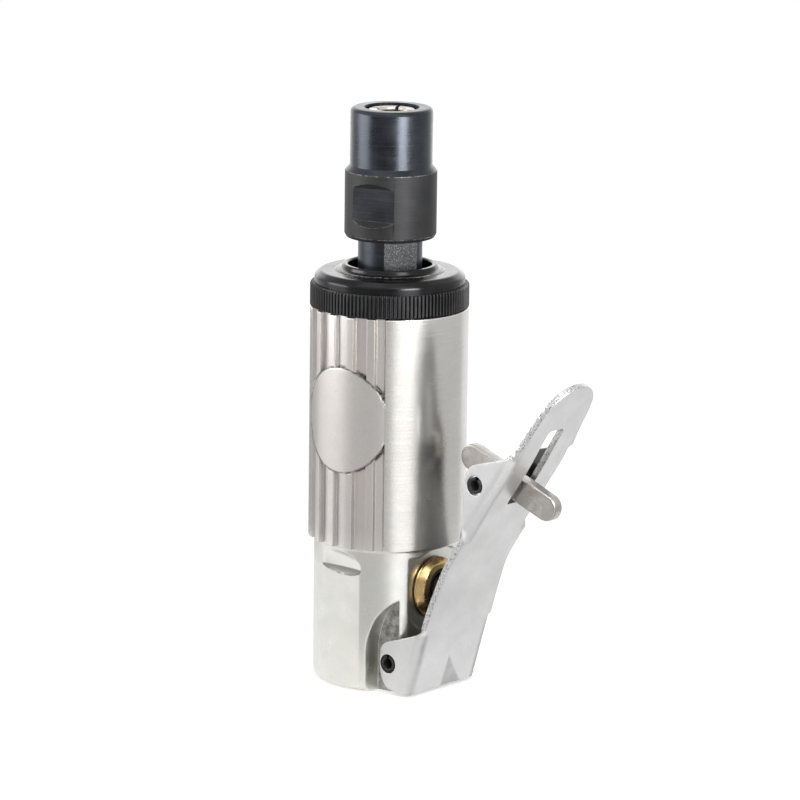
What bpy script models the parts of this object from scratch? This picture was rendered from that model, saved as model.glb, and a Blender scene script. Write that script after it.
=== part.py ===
"""Mini pneumatic die grinder: a straight air tool with a 1/4 in collet, built from
separate pieces in metres, +Z up, the tool standing on its rear face.

The frame's origin is the middle of the bottom of the bounding box. The tool's own
axis is parallel to Z, and the lever lies on its +X side. All shapes below are given
in millimetres about the tool axis, with z = 0 at the rear face.
"""

import math

import bmesh
import bpy
import numpy as np
from mathutils import Matrix

MM = 0.001
GAP = 0.3  # between neighbouring pieces

# ---- driving sizes, mm ------------------------------------------------------
BODY_R = 19.0  # wide polished part of the housing
REAR_R = 17.55  # rear part of the housing
STEP_Z = 34.9  # where the wide part starts
HOUSING_TOP = 91.5
GROOVE_DEPTH = 1.3
PANEL_R = BODY_R - GROOVE_DEPTH  # floor of the fluted side panels
PANEL_FROM, PANEL_TO = -124.0, -51.7  # degrees round the tool axis, one side
RIB_ANGLES = (-62.5, -78.5, -94.0, -109.5)
RIB_WIDTH = 2.5
PAD_ANGLE, PAD_Z, PAD_R = -87.0, 66.4, BODY_R * 13 / 19  # the pad spans its panel
WRENCH_FLAT = 16.55  # distance of the rear wrench flats from the axis
LEVER_FLAT_X = 14.9  # flat on the lever side
CLEAR = BODY_R + 5  # reach of a cutter that comes in from outside

WALL = 3.0  # of the housing round the air motor
MOTOR_BORE_R, MOTOR_BORE_Z = BODY_R - WALL, 40.0
MOTOR_R = MOTOR_BORE_R - GAP
DOWEL_R, DOWEL_AT = 1.0, MOTOR_R - 2.2  # locating pin, and its distance from the axis
ROTOR_R = MOTOR_R - 4.7
VANE_HALF = 0.75  # half the thickness of a vane

KNURL_STANDS, KNURL_HEIGHT, KNURL_TEETH = 0.05, 5.4, 36
KNURL_R = BODY_R + KNURL_STANDS
KNURL_Z0 = HOUSING_TOP + GAP
KNURL_Z1 = KNURL_Z0 + KNURL_HEIGHT
CAP_TOP = KNURL_Z1 + 3.0
CAP_RIM_TOP = CAP_TOP + 1.6
CAP_NOSE, CAP_BORE_R = 5.7, 12.4  # how far the cap reaches into the housing, and its bore
CAP_NOSE_Z = HOUSING_TOP - CAP_NOSE

SPINDLE_R, SPINDLE_FLAT_CUT, SPINDLE_FLAT_ANGLE = 7.7, 1.25, -26.5
SPINDLE_FLAT = SPINDLE_R - SPINDLE_FLAT_CUT
SHAFT_R = 4.7  # front end of the rotor
CAP_HOLE_R = SPINDLE_R + 2.35
NUT_GAP, NUT_WALL, NUT_STEP, NUT_FLAT_CUT, NUT_FLAT_ANGLE = 6.5, 3.3, 1.15, 1.4, -74.6
NUT_R = SPINDLE_R + NUT_WALL
NUT_TOP_R = NUT_R - NUT_STEP
NUT_FLAT = NUT_R - NUT_FLAT_CUT
NUT_Z0 = CAP_RIM_TOP + NUT_GAP
NUT_SHOULDER_Z = NUT_Z0 + 16.0
NUT_TOP = NUT_SHOULDER_Z + 15.1
COLLET_BORE_R = 3.2

# ball bearings: bore, inner ring, pitch, outer ring, outside, ball
FRONT_BEARING, FRONT_BEARING_WIDTH = (SHAFT_R + GAP, 7.3, 9.0, 10.7, 13.0, 2.1), 8.0
REAR_BEARING, REAR_BEARING_WIDTH = (3.0, 5.05, 6.25, 7.45, 9.5, 1.5), 6.0
FRONT_BEARING_Z1 = CAP_NOSE_Z - GAP
FRONT_BEARING_Z0 = FRONT_BEARING_Z1 - FRONT_BEARING_WIDTH
REAR_BEARING_Z0 = MOTOR_BORE_Z + 1.0
REAR_BEARING_Z1 = REAR_BEARING_Z0 + REAR_BEARING_WIDTH
# the air motor's stack, between the floor of the bore and the cap
REAR_PLATE_Z0 = MOTOR_BORE_Z + GAP
REAR_PLATE_Z1 = REAR_BEARING_Z1 + 4.3
FRONT_PLATE_Z0 = FRONT_BEARING_Z0 - 2.6
FRONT_PLATE_Z1 = CAP_NOSE_Z - 0.9
CYLINDER_Z0, CYLINDER_Z1 = REAR_PLATE_Z1 + GAP, FRONT_PLATE_Z0 - GAP
NOSE_Z = CAP_NOSE_Z + 1.3  # rear end of the spindle's nose

VALVE_Z = 24.6  # height of the cross-axis of the throttle valve
STEM_R, STEM_CLEAR = 3.6, 0.85  # the stem, and its tip's distance from the lever

SHEET = 1.6  # thickness of the lever's sheet
FOOT_HALF, EAR_HALF = 12.9, 11.4  # half the lever's width over its lower and upper ears
POCKET_Y = FOOT_HALF - SHEET - GAP  # floors of the housing's pockets for the lower ears
PIN_R, PIN_WALL = 2.0, 0.75
PIN_HOLE_R = PIN_R + GAP
LEVER_PIVOT = (11.8, 7.4)  # X, Z
LOCK_PIVOT = (36.6, 55.0)
LOCK_ANGLE = -21.0  # of the lock bar, inner end up
LOCK_IN, LOCK_OUT = 13.2, 17.2  # its ends from the pivot
LOCK_HALF_WIDTH, LOCK_HALF_THICK = 3.2, 1.45

# X of the lever's outer face at heights Z
LEVER_FACE = (
    (0.5, 18.0), (4.6, 19.2), (13.7, 21.9), (21.5, 24.4), (26.0, 26.0), (31.8, 28.3),
    (36.2, 30.9), (41.9, 34.6), (50.0, 39.9), (55.6, 43.8), (60.0, 46.6), (64.0, 49.0),
    (68.0, 51.4), (72.0, 53.9), (76.0, 56.4), (80.2, 59.1),
)
TIP_Z, TIP_R = 80.0, 8.7
TIP_BASE_Z = TIP_Z - 0.84 * TIP_R
SLOT_HALF, SLOT_BOTTOM, SLOT_TOP = 2.4, 49.4, 68.2

ORIGIN_X = (LEVER_FACE[-1][1] - KNURL_R) / 2  # from the tool axis to the middle of the box

# ---- scene ------------------------------------------------------------------


def clear_scene():
    for obj in list(bpy.context.scene.objects):
        bpy.data.objects.remove(obj, do_unlink=True)


def collection(name):
    made = bpy.data.collections.new(name)
    bpy.context.scene.collection.children.link(made)
    return made


def empty(name, x, z, parent=None):
    """An empty on a joint's axis, at X, Z of the tool's own frame."""
    made = bpy.data.objects.new(name, None)
    made.empty_display_size = 5 * MM
    made.location = (x * MM, 0, z * MM)
    if parent:
        made.parent = parent
        made["at"] = (x, z)
        px, pz = parent.get("at", (0.0, 0.0))
        made.location = ((x - px) * MM, 0, (z - pz) * MM)
    PIECES.objects.link(made)
    return made


def material(name, colour, metallic, roughness):
    made = bpy.data.materials.new(name)
    made.use_nodes = True
    shader = made.node_tree.nodes["Principled BSDF"]
    shader.inputs["Base Color"].default_value = (*colour, 1)
    shader.inputs["Metallic"].default_value = metallic
    shader.inputs["Roughness"].default_value = roughness
    made.diffuse_color = (*colour, 1)
    return made


LOOKS = {
    "polished": ((0.72, 0.71, 0.68), 1.0, 0.2),
    "steel": ((0.55, 0.55, 0.55), 1.0, 0.3),
    "black": ((0.03, 0.03, 0.035), 0.7, 0.4),
    "chrome": ((0.7, 0.7, 0.72), 1.0, 0.12),
    "brass": ((0.75, 0.55, 0.25), 1.0, 0.25),
    "rubber": ((0.02, 0.02, 0.02), 0.0, 0.7),
    "fibre": ((0.3, 0.18, 0.1), 0.0, 0.7),
    "felt": ((0.5, 0.48, 0.42), 0.0, 0.95),
}


def combine(target, shape, operation="DIFFERENCE", label="cut"):
    """Cuts a shape from a piece, or joins one to it, with a live Boolean."""
    number = len(target.modifiers)
    place(shape, f"{target.name}_{label}_{number}", target.parent, CUTTERS)
    shape.hide_render = True
    shape.display_type = "WIRE"
    change = target.modifiers.new(f"{label}_{number}", "BOOLEAN")
    change.operation = operation
    change.solver = "EXACT"
    change.object = shape
    return shape


def place(shape, name, parent, where):
    """Names a shape and hangs it on an empty, whose own place it is then measured from."""
    shape.name = name
    shape.data.name = name
    px, pz = parent.get("at", (0.0, 0.0))
    shape.parent = parent
    shape.matrix_basis = Matrix.Translation((-px * MM, 0, -pz * MM)) @ shape.matrix_basis
    where.objects.link(shape)


def piece(name, shape, look, parent):
    """One named piece of the tool, with its own material."""
    shape.data.materials.append(material(name, *LOOKS[look]))
    place(shape, name, parent, PIECES)
    return shape


# ---- shapes: each makes an object about the tool axis; sizes are in mm -------------

TURN_TO = {
    "Z": Matrix.Identity(4),
    "X": Matrix.Rotation(math.pi / 2, 4, "Y"),
    "Y": Matrix.Rotation(-math.pi / 2, 4, "X"),
}


def oriented(data, axis, centre, turn=0.0):
    made = bpy.data.objects.new(data.name, data)
    made.matrix_basis = (
        Matrix.Translation([c * MM for c in centre]) @ TURN_TO[axis] @ Matrix.Rotation(math.radians(turn), 4, "Z")
    )
    return made


def turned(profile, steps, axis="Z", centre=(0.0, 0.0, 0.0), turn=0.0):
    """A profile of (radius, along) with a Screw. An open one ends on the axis at both
    ends, a closed one goes round a ring's section. It runs down its outer side."""
    ring = min(r for r, _ in profile) > 1e-9
    loop = profile + [profile[0]]
    if sum(r0 * a1 - r1 * a0 for (r0, a0), (r1, a1) in zip(loop, loop[1:])) > 0:
        profile = profile[::-1]
    data = bpy.data.meshes.new("turned")
    edges = [(i, i + 1) for i in range(len(profile) - 1)]
    if ring:
        edges.append((len(profile) - 1, 0))
    data.from_pydata([(r * MM, 0, along * MM) for r, along in profile], edges, [])
    made = oriented(data, axis, centre, turn)
    screw = made.modifiers.new("turn", "SCREW")
    screw.steps = screw.render_steps = steps
    screw.use_merge_vertices = True
    screw.merge_threshold = 1e-7
    screw.use_smooth_shade = True
    return made


def mesh_from(work, name):
    data = bpy.data.meshes.new(name)
    work.to_mesh(data)
    work.free()
    return data


def rod(r, a0, a1, steps, axis="Z", centre=(0.0, 0.0, 0.0)):
    work = bmesh.new()
    bmesh.ops.create_cone(
        work, cap_ends=True, segments=steps, radius1=r * MM, radius2=r * MM, depth=(a1 - a0) * MM,
        matrix=Matrix.Translation((0, 0, (a0 + a1) / 2 * MM)),
    )
    return oriented(mesh_from(work, "rod"), axis, centre)


def block(x0, x1, y0, y1, z0, z1):
    work = bmesh.new()
    bmesh.ops.create_cube(work, size=1.0)
    bmesh.ops.scale(work, vec=((x1 - x0) * MM, (y1 - y0) * MM, (z1 - z0) * MM), verts=work.verts)
    return oriented(mesh_from(work, "block"), "Z", ((x0 + x1) / 2, (y0 + y1) / 2, (z0 + z1) / 2))


def ball(r, columns, rows, centre):
    work = bmesh.new()
    bmesh.ops.create_uvsphere(work, u_segments=columns, v_segments=rows, radius=r * MM)
    return oriented(mesh_from(work, "ball"), "Z", centre)


def outlined(outline, a0, a1, axis):
    """A flat outline given thickness along an axis: (X, Z) along Y, (X, Y) along Z,
    (Y, Z) along X."""
    curve = bpy.data.curves.new("outline", "CURVE")
    curve.dimensions = "2D"
    curve.fill_mode = "BOTH"
    curve.extrude = (a1 - a0) / 2 * MM
    spline = curve.splines.new("POLY")
    spline.points.add(len(outline) - 1)
    for point, (u, v) in zip(spline.points, outline):
        point.co = (u * MM, v * MM, 0, 1)
    spline.use_cyclic_u = True
    guide = bpy.data.objects.new("outline", curve)
    CUTTERS.objects.link(guide)
    graph = bpy.context.evaluated_depsgraph_get()
    graph.update()
    data = bpy.data.meshes.new_from_object(guide.evaluated_get(graph))
    bpy.data.objects.remove(guide, do_unlink=True)
    bpy.data.curves.remove(curve)
    data.materials.clear()
    work = bmesh.new()
    work.from_mesh(data)
    bmesh.ops.remove_doubles(work, verts=work.verts, dist=1e-7)
    bmesh.ops.recalc_face_normals(work, faces=work.faces)
    work.to_mesh(data)
    work.free()
    middle = (a0 + a1) / 2 * MM
    made = bpy.data.objects.new("outline", data)
    made.matrix_basis = {
        "Z": Matrix.Translation((0, 0, middle)),
        "Y": Matrix.Translation((0, middle, 0)) @ Matrix.Rotation(math.pi / 2, 4, "X"),
        "X": Matrix.Translation((middle, 0, 0)) @ Matrix(((0, 0, 1, 0), (1, 0, 0, 0), (0, 1, 0, 0), (0, 0, 0, 1))),
    }[axis]
    return made


def loft(sections):
    """A solid through closed sections with the same number of points, unlike each other."""
    count = len(sections[0])
    work = bmesh.new()
    rings = [[work.verts.new([c * MM for c in p]) for p in section] for section in sections]
    for low, high in zip(rings, rings[1:]):
        for i in range(count):
            j = (i + 1) % count
            work.faces.new((low[i], low[j], high[j], high[i]))
    work.faces.new(rings[0])
    work.faces.new(rings[-1][::-1])
    bmesh.ops.recalc_face_normals(work, faces=work.faces)
    return bpy.data.objects.new("loft", mesh_from(work, "loft"))


def sector(r0, r1, angles, low, high):
    """A curved plate between two radii. low and high give its heights at each angle."""
    sections = []
    for t in angles:
        c, s = math.cos(math.radians(t)), math.sin(math.radians(t))
        z0, z1 = low(t), high(t)
        sections.append([(r0 * c, r0 * s, z0), (r1 * c, r1 * s, z0), (r1 * c, r1 * s, z1), (r0 * c, r0 * s, z1)])
    return loft(sections)


def arc(cx, cy, r, a0, a1, count):
    return [
        (cx + r * math.cos(math.radians(a)), cy + r * math.sin(math.radians(a)))
        for a in np.linspace(a0, a1, count)
    ]


def moved(shape, angle=0.0, shift=(0.0, 0.0, 0.0), axis="Z"):
    """Turns a shape about an axis of the tool, then shifts it."""
    shape.matrix_basis = (
        Matrix.Translation([c * MM for c in shift])
        @ Matrix.Rotation(math.radians(angle), 4, axis)
        @ shape.matrix_basis
    )
    return shape


def together(*shapes):
    """Separate solids as one mesh, for one cut."""
    work = bmesh.new()
    for shape in shapes:
        shape.data.transform(shape.matrix_basis)
        work.from_mesh(shape.data)
        bpy.data.objects.remove(shape, do_unlink=True)
    return bpy.data.objects.new("group", mesh_from(work, "group"))


def wire(path, r):
    """Round wire along a path: a poly curve with a bevel and filled caps."""
    curve = bpy.data.curves.new("wire", "CURVE")
    curve.dimensions = "3D"
    curve.bevel_depth = r * MM
    curve.bevel_resolution = 1
    curve.use_fill_caps = True
    spline = curve.splines.new("POLY")
    spline.points.add(len(path) - 1)
    for point, at in zip(spline.points, path):
        point.co = (*[c * MM for c in at], 1)
    return bpy.data.objects.new("wire", curve)


def coil(radius, pitch, turns, per_turn, start=0.0):
    """Points of a helix about Z."""
    count = int(turns * per_turn) + 1
    t = np.linspace(0, turns, count)
    a = math.radians(start) + 2 * math.pi * t
    return np.stack([radius * np.cos(a), radius * np.sin(a), pitch * t], axis=1)


# ---- housing ------------------------------------------------------------------


def pad_height(t):
    """Half the height of the round pad at an angle round the tool, 0 outside it."""
    across = math.radians(t - PAD_ANGLE) * BODY_R
    return math.sqrt(max(PAD_R**2 - across**2, 0.0))


def grooves(side):
    """The grooves between the ribs of one side panel, above and below the round pad."""
    half_rib = math.degrees(RIB_WIDTH / 2 / BODY_R)
    edges = [PANEL_TO]
    for t in RIB_ANGLES:
        edges += [t + half_rib, t - half_rib]
    edges.append(PANEL_FROM)
    corner = 2.6  # mm, radius of the wide part's lower corners beside the panel
    made = []
    for hi, lo in zip(edges[::2], edges[1::2]):
        angles = list(np.linspace(lo, hi, 3))
        below = list(angles)
        if hi == PANEL_TO:
            below += [hi + math.degrees(d / BODY_R) for d in (0.25, 0.9, 1.7, corner)]
        if lo == PANEL_FROM:
            below = [lo - math.degrees(d / BODY_R) for d in (corner, 1.7, 0.9, 0.25)] + below

        def low_top(t):
            beyond = max(t - PANEL_TO, PANEL_FROM - t, 0.0)
            if beyond > 1e-6:
                d = min(math.radians(beyond) * BODY_R, corner)
                return STEP_Z + corner - math.sqrt(max(corner**2 - (corner - d) ** 2, 0.0)) + 0.02
            return PAD_Z - pad_height(t)

        for spread, bottom, top in (
            (below, lambda t: STEP_Z - 0.6, low_top),
            (angles, lambda t: PAD_Z + pad_height(t), lambda t: HOUSING_TOP + 1),
        ):
            made.append(
                sector(
                    PANEL_R, BODY_R + 3, [side * t for t in spread],
                    lambda t: bottom(side * t), lambda t: top(side * t),
                )
            )
    return together(*made)


def housing(tool):
    body = piece(
        "housing",
        turned(
            [
                (0, MOTOR_BORE_Z), (MOTOR_BORE_R, MOTOR_BORE_Z), (MOTOR_BORE_R, HOUSING_TOP),
                (BODY_R - 0.3, HOUSING_TOP), (BODY_R, HOUSING_TOP - 0.3),
                (BODY_R, STEP_Z + 0.5), (BODY_R - 0.15, STEP_Z + 0.15), (BODY_R - 0.5, STEP_Z),
                (REAR_R, STEP_Z), (REAR_R, 3.0), (REAR_R - 0.4, 1.4),
                (REAR_R - 1.4, 0.4), (14.5, 0.0), (9.0, 0.0), (8.6, 0.4), (8.6, 14.0), (0, 14.0),
            ],
            44,
        ),
        "polished",
        tool,
    )
    for side in (1, -1):
        combine(body, grooves(side), label="panel")
    # wrench flats, each with the oval gouge where the cutter came out
    for side in (1, -1):
        combine(body, block(-12, 12, *sorted((side * WRENCH_FLAT, side * CLEAR)), -1, 30.5), label="flat")
        combine(body, rod(4.1, -11, 11, 24, "X", (-0.6, side * 20.0, 30.5)), label="gouge")
    # flat and counterbore on the lever side
    combine(body, block(LEVER_FLAT_X, CLEAR, -12, 12, -1, 33.0), label="lever_flat")
    combine(body, rod(10.6, LEVER_FLAT_X - 0.05, CLEAR, 32, "X", (0, 0, VALVE_Z)), label="counterbore")
    # pockets for the ears of the lever
    pocket = [
        (7.3, -1), (7.3, 10.7), (7.6, 13.2), (8.35, 15.7), (9.1, 17.8), (10.2, 19.6),
        (11.7, 21.4), (13.35, 22.7), (15.5, 23.6), (CLEAR, 24.0), (CLEAR, -1),
    ]
    for side in (1, -1):
        combine(body, outlined(pocket, *sorted((side * POCKET_Y, side * CLEAR)), "Y"), label="pocket")
    combine(body, rod(PIN_HOLE_R, -20, 20, 20, "Y", (LEVER_PIVOT[0], 0, LEVER_PIVOT[1])), label="pin_hole")
    # valve chamber: bushing bore, seat land, chamber behind the seat
    combine(body, rod(6.3, -1.0, 20, 24, "X", (0, 0, VALVE_Z)), label="valve_bore")
    combine(body, rod(4.0, -4.5, 0.0, 16, "X", (0, 0, VALVE_Z)), label="valve_seat")
    combine(body, rod(5.8, -11.0, -4.0, 20, "X", (0, 0, VALVE_Z)), label="valve_chamber")
    combine(body, rod(2.5, 13.0, 24.6, 16, "Z", (-7.3, 0, 0)), label="inlet_passage")
    feed = moved(rod(2.2, 0, 20.5, 16), 30.0, (3.2, 0, 24.8), "Y")
    combine(body, feed, label="feed")
    # exhaust: groove beside the cylinder, four holes, and the recess in the rear face
    combine(
        body,
        sector(
            MOTOR_BORE_R - 1.5, MOTOR_BORE_R + 1.3, np.linspace(126, 234, 13),
            lambda t: MOTOR_BORE_Z - 1.5, lambda t: CYLINDER_Z1 + 0.4,
        ),
        label="exhaust_groove",
    )
    holes = [
        rod(1.5, 4.0, MOTOR_BORE_Z + 1.0, 12, "Z", (13.2 * math.cos(math.radians(a)), 13.2 * math.sin(math.radians(a)), 0))
        for a in (126, 143, 217, 234)
    ]
    combine(body, together(*holes), label="exhaust_holes")
    combine(body, sector(9.3, 13.9, np.linspace(103, 257, 19), lambda t: -1, lambda t: 2.1), label="grille_recess")
    combine(body, sector(9.35, 13.85, np.linspace(122, 238, 13), lambda t: 1.5, lambda t: 5.6), label="muffler_recess")
    for a in (114, 246):
        at = (11.6 * math.cos(math.radians(a)), 11.6 * math.sin(math.radians(a)), 0)
        combine(body, rod(1.2, 1.0, 6.6, 12, "Z", at), label="screw_hole")
    return body


# ---- front cap ------------------------------------------------------------------


def clamp_cap(tool):
    outline = []
    for i in range(KNURL_TEETH):
        for share, r in ((0.0, KNURL_R), (0.5, KNURL_R - 0.45)):
            outline.append((r, 2 * math.pi * (i + share) / KNURL_TEETH))
    knurl = [
        [((r - drop) * math.cos(a), (r - drop) * math.sin(a), z) for r, a in outline]
        for z, drop in ((KNURL_Z0, 0.0), (KNURL_Z1 - 0.4, 0.0), (KNURL_Z1, 0.4))
    ]
    cap = piece("clamp_cap", loft(knurl), "black", tool)
    combine(cap, rod(BODY_R - 2.4, KNURL_Z0 - 1.8, KNURL_Z1 + 1.8, 40), label="ring")
    body = turned(
        [
            (CAP_HOLE_R, KNURL_Z1 + 0.4), (CAP_HOLE_R, CAP_RIM_TOP - 0.45), (CAP_HOLE_R + 0.4, CAP_RIM_TOP),
            (CAP_HOLE_R + 1.25, CAP_RIM_TOP), (CAP_HOLE_R + 1.65, CAP_RIM_TOP - 0.4),
            (CAP_HOLE_R + 1.65, CAP_TOP + 0.5), (CAP_HOLE_R + 2.25, CAP_TOP + 0.5),
            (CAP_HOLE_R + 2.95, CAP_TOP), (BODY_R - 2.7, CAP_TOP), (BODY_R - 1.8, CAP_TOP - 0.25),
            (BODY_R - 1.25, CAP_TOP - 0.8), (BODY_R - 1.0, CAP_TOP - 1.5), (BODY_R - 1.0, KNURL_Z0 + 0.6),
            (MOTOR_R, KNURL_Z0 + 0.3), (MOTOR_R, CAP_NOSE_Z), (CAP_BORE_R, CAP_NOSE_Z),
            (CAP_BORE_R, KNURL_Z1 - 0.2),
        ],
        40,
    )
    combine(cap, body, "UNION", "body")
    return cap


# ---- air motor ------------------------------------------------------------------


def ring_of_holes(r, angles, radius, z0, z1, steps):
    return together(*[
        rod(radius, z0, z1, steps, "Z", (r * math.cos(math.radians(a)), r * math.sin(math.radians(a)), 0))
        for a in angles
    ])


def motor(tool, spindle):
    pin_at = 35.0  # degrees, locating pin
    pin_hole = DOWEL_R + GAP
    shaft = REAR_BEARING[0] - GAP  # rear end of the rotor
    seat = REAR_BEARING[4] + GAP
    rear = piece(
        "rear_end_plate",
        turned(
            [
                (shaft + 2 * GAP, REAR_PLATE_Z1), (MOTOR_R, REAR_PLATE_Z1), (MOTOR_R, REAR_PLATE_Z0),
                (seat, REAR_PLATE_Z0), (seat, REAR_BEARING_Z1 + GAP), (shaft + 2 * GAP, REAR_BEARING_Z1 + GAP),
            ],
            32,
        ),
        "steel",
        tool,
    )
    combine(rear, rod(1.6, REAR_PLATE_Z0 - 1.3, REAR_PLATE_Z1 + 1.7, 12, "Z", (13.4, 0, 0)), label="inlet_port")
    notches = []
    for a in (126, 143, 217, 234):
        notches.append(moved(block(11.7, MOTOR_R + 1.3, -1.5, 1.5, REAR_PLATE_Z0 - 1.3, REAR_PLATE_Z1 + 0.7), a))
    combine(rear, together(*notches), label="exhaust_notches")
    combine(rear, ring_of_holes(DOWEL_AT, [pin_at], pin_hole, REAR_PLATE_Z1 - 5.3, REAR_PLATE_Z1 + 1.7, 12), label="pin_hole")

    cylinder = piece(
        "motor_cylinder",
        rod(MOTOR_R, CYLINDER_Z0, CYLINDER_Z1, 36),
        "steel",
        tool,
    )
    low, high = CYLINDER_Z0 - 1.6, CYLINDER_Z1 + 1.4
    combine(cylinder, rod(ROTOR_R + 1.6, low, high, 36, "Z", (-1.2, 0, 0)), label="eccentric_bore")
    combine(cylinder, rod(1.2, low, CYLINDER_Z1 - 4.6, 12, "Z", (DOWEL_AT, 0, 0)), label="inlet_port")
    slot = block(ROTOR_R - 1.0, DOWEL_AT + 0.1, -0.8, 0.8, CYLINDER_Z0 + 3.4, CYLINDER_Z1 - 5.6)
    combine(cylinder, slot, label="inlet_slot")
    for z in (5.4, 10.4, 15.4):
        slot = sector(
            ROTOR_R + 1.0, MOTOR_R + 1.3, np.linspace(151, 209, 6),
            lambda t: CYLINDER_Z0 + z, lambda t: CYLINDER_Z0 + z + 2.2,
        )
        combine(cylinder, slot, label="exhaust_slot")
    combine(cylinder, ring_of_holes(DOWEL_AT, [pin_at], pin_hole, low, high, 12), label="pin_hole")

    collar = SHAFT_R + 1.6  # of the rotor, behind the front bearing
    front = piece(
        "front_end_plate",
        turned(
            [
                (collar + GAP, FRONT_PLATE_Z0), (MOTOR_R, FRONT_PLATE_Z0), (MOTOR_R, FRONT_PLATE_Z1),
                (FRONT_BEARING[4] + GAP, FRONT_PLATE_Z1), (FRONT_BEARING[4] + GAP, FRONT_BEARING_Z0 - GAP),
                (collar + GAP, FRONT_BEARING_Z0 - GAP),
            ],
            32,
        ),
        "steel",
        tool,
    )
    top = FRONT_PLATE_Z0 + 1.3
    hole = ring_of_holes(DOWEL_AT, [pin_at], pin_hole, FRONT_PLATE_Z0 - 0.9, top + GAP, 12)
    combine(front, hole, label="pin_hole")
    pin = rod(DOWEL_R, REAR_PLATE_Z1 - 5.0, top, 12, "Z", (DOWEL_AT, 0, 0))
    piece("locating_pin", moved(pin, pin_at), "steel", tool)

    rotor = piece(
        "rotor",
        turned(
            [
                (0, REAR_BEARING_Z0), (shaft - 0.3, REAR_BEARING_Z0), (shaft, REAR_BEARING_Z0 + 0.3),
                (shaft, CYLINDER_Z0 + GAP), (ROTOR_R, CYLINDER_Z0 + GAP), (ROTOR_R, CYLINDER_Z1 - GAP),
                (collar, CYLINDER_Z1 - GAP), (collar, FRONT_BEARING_Z0 - GAP), (SHAFT_R, FRONT_BEARING_Z0 - GAP),
                (SHAFT_R, NOSE_Z + 9.3), (SHAFT_R - 0.5, NOSE_Z + 9.8), (0, NOSE_Z + 9.8),
            ],
            28,
            turn=4.5,
        ),
        "steel",
        spindle,
    )
    for i in range(4):
        slot = block(4.7, ROTOR_R + 2, -VANE_HALF - GAP, VANE_HALF + GAP, CYLINDER_Z0 - 0.6, CYLINDER_Z1 + 0.4)
        combine(rotor, moved(slot, 90 * i + 45), label="vane_slot")
    for i in range(4):
        vane = block(5.0, ROTOR_R + 0.1, -VANE_HALF, VANE_HALF, CYLINDER_Z0 + 0.5, CYLINDER_Z1 - 0.5)
        piece(f"vane_{i + 1}", moved(vane, 90 * i + 45), "fibre", spindle)


def bearing(prefix, tool, cage_parent, spindle, sizes, z0, z1, balls, steps):
    """A ball bearing as three pieces: outer ring, inner ring, and its balls in their cage."""
    bore, inner, pitch, outer, outside, radius = sizes
    mid, groove = (z0 + z1) / 2, radius + 0.4

    def race(edge, sign):
        reach = abs(pitch - edge)
        rise = math.sqrt(groove**2 - reach**2)
        return [
            (pitch + sign * math.sqrt(groove**2 - z * z), mid + z)
            for z in np.linspace(-rise, rise, 3)
        ]

    piece(
        f"{prefix}_bearing_outer",
        turned([(outer, z0)] + race(outer, 1) + [(outer, z1), (outside - 0.3, z1), (outside, z1 - 0.3), (outside, z0)], steps),
        "chrome",
        tool,
    )
    piece(
        f"{prefix}_bearing_inner",
        turned([(inner, z0)] + race(inner, -1) + [(inner, z1), (bore, z1), (bore, z0)], steps),
        "chrome",
        spindle,
    )
    cage = piece(
        f"{prefix}_bearing_balls",
        turned([(pitch - 0.45, mid - 0.9), (pitch + 0.45, mid - 0.9), (pitch + 0.45, mid + 0.9), (pitch - 0.45, mid + 0.9)], 12),
        "chrome",
        cage_parent,
    )
    for i in range(balls):
        a = 2 * math.pi * (i + 0.3) / balls
        combine(cage, ball(radius, 6, 4, (pitch * math.cos(a), pitch * math.sin(a), mid)), "UNION", "ball")


# ---- spindle, collet and nut ------------------------------------------------------


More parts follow.
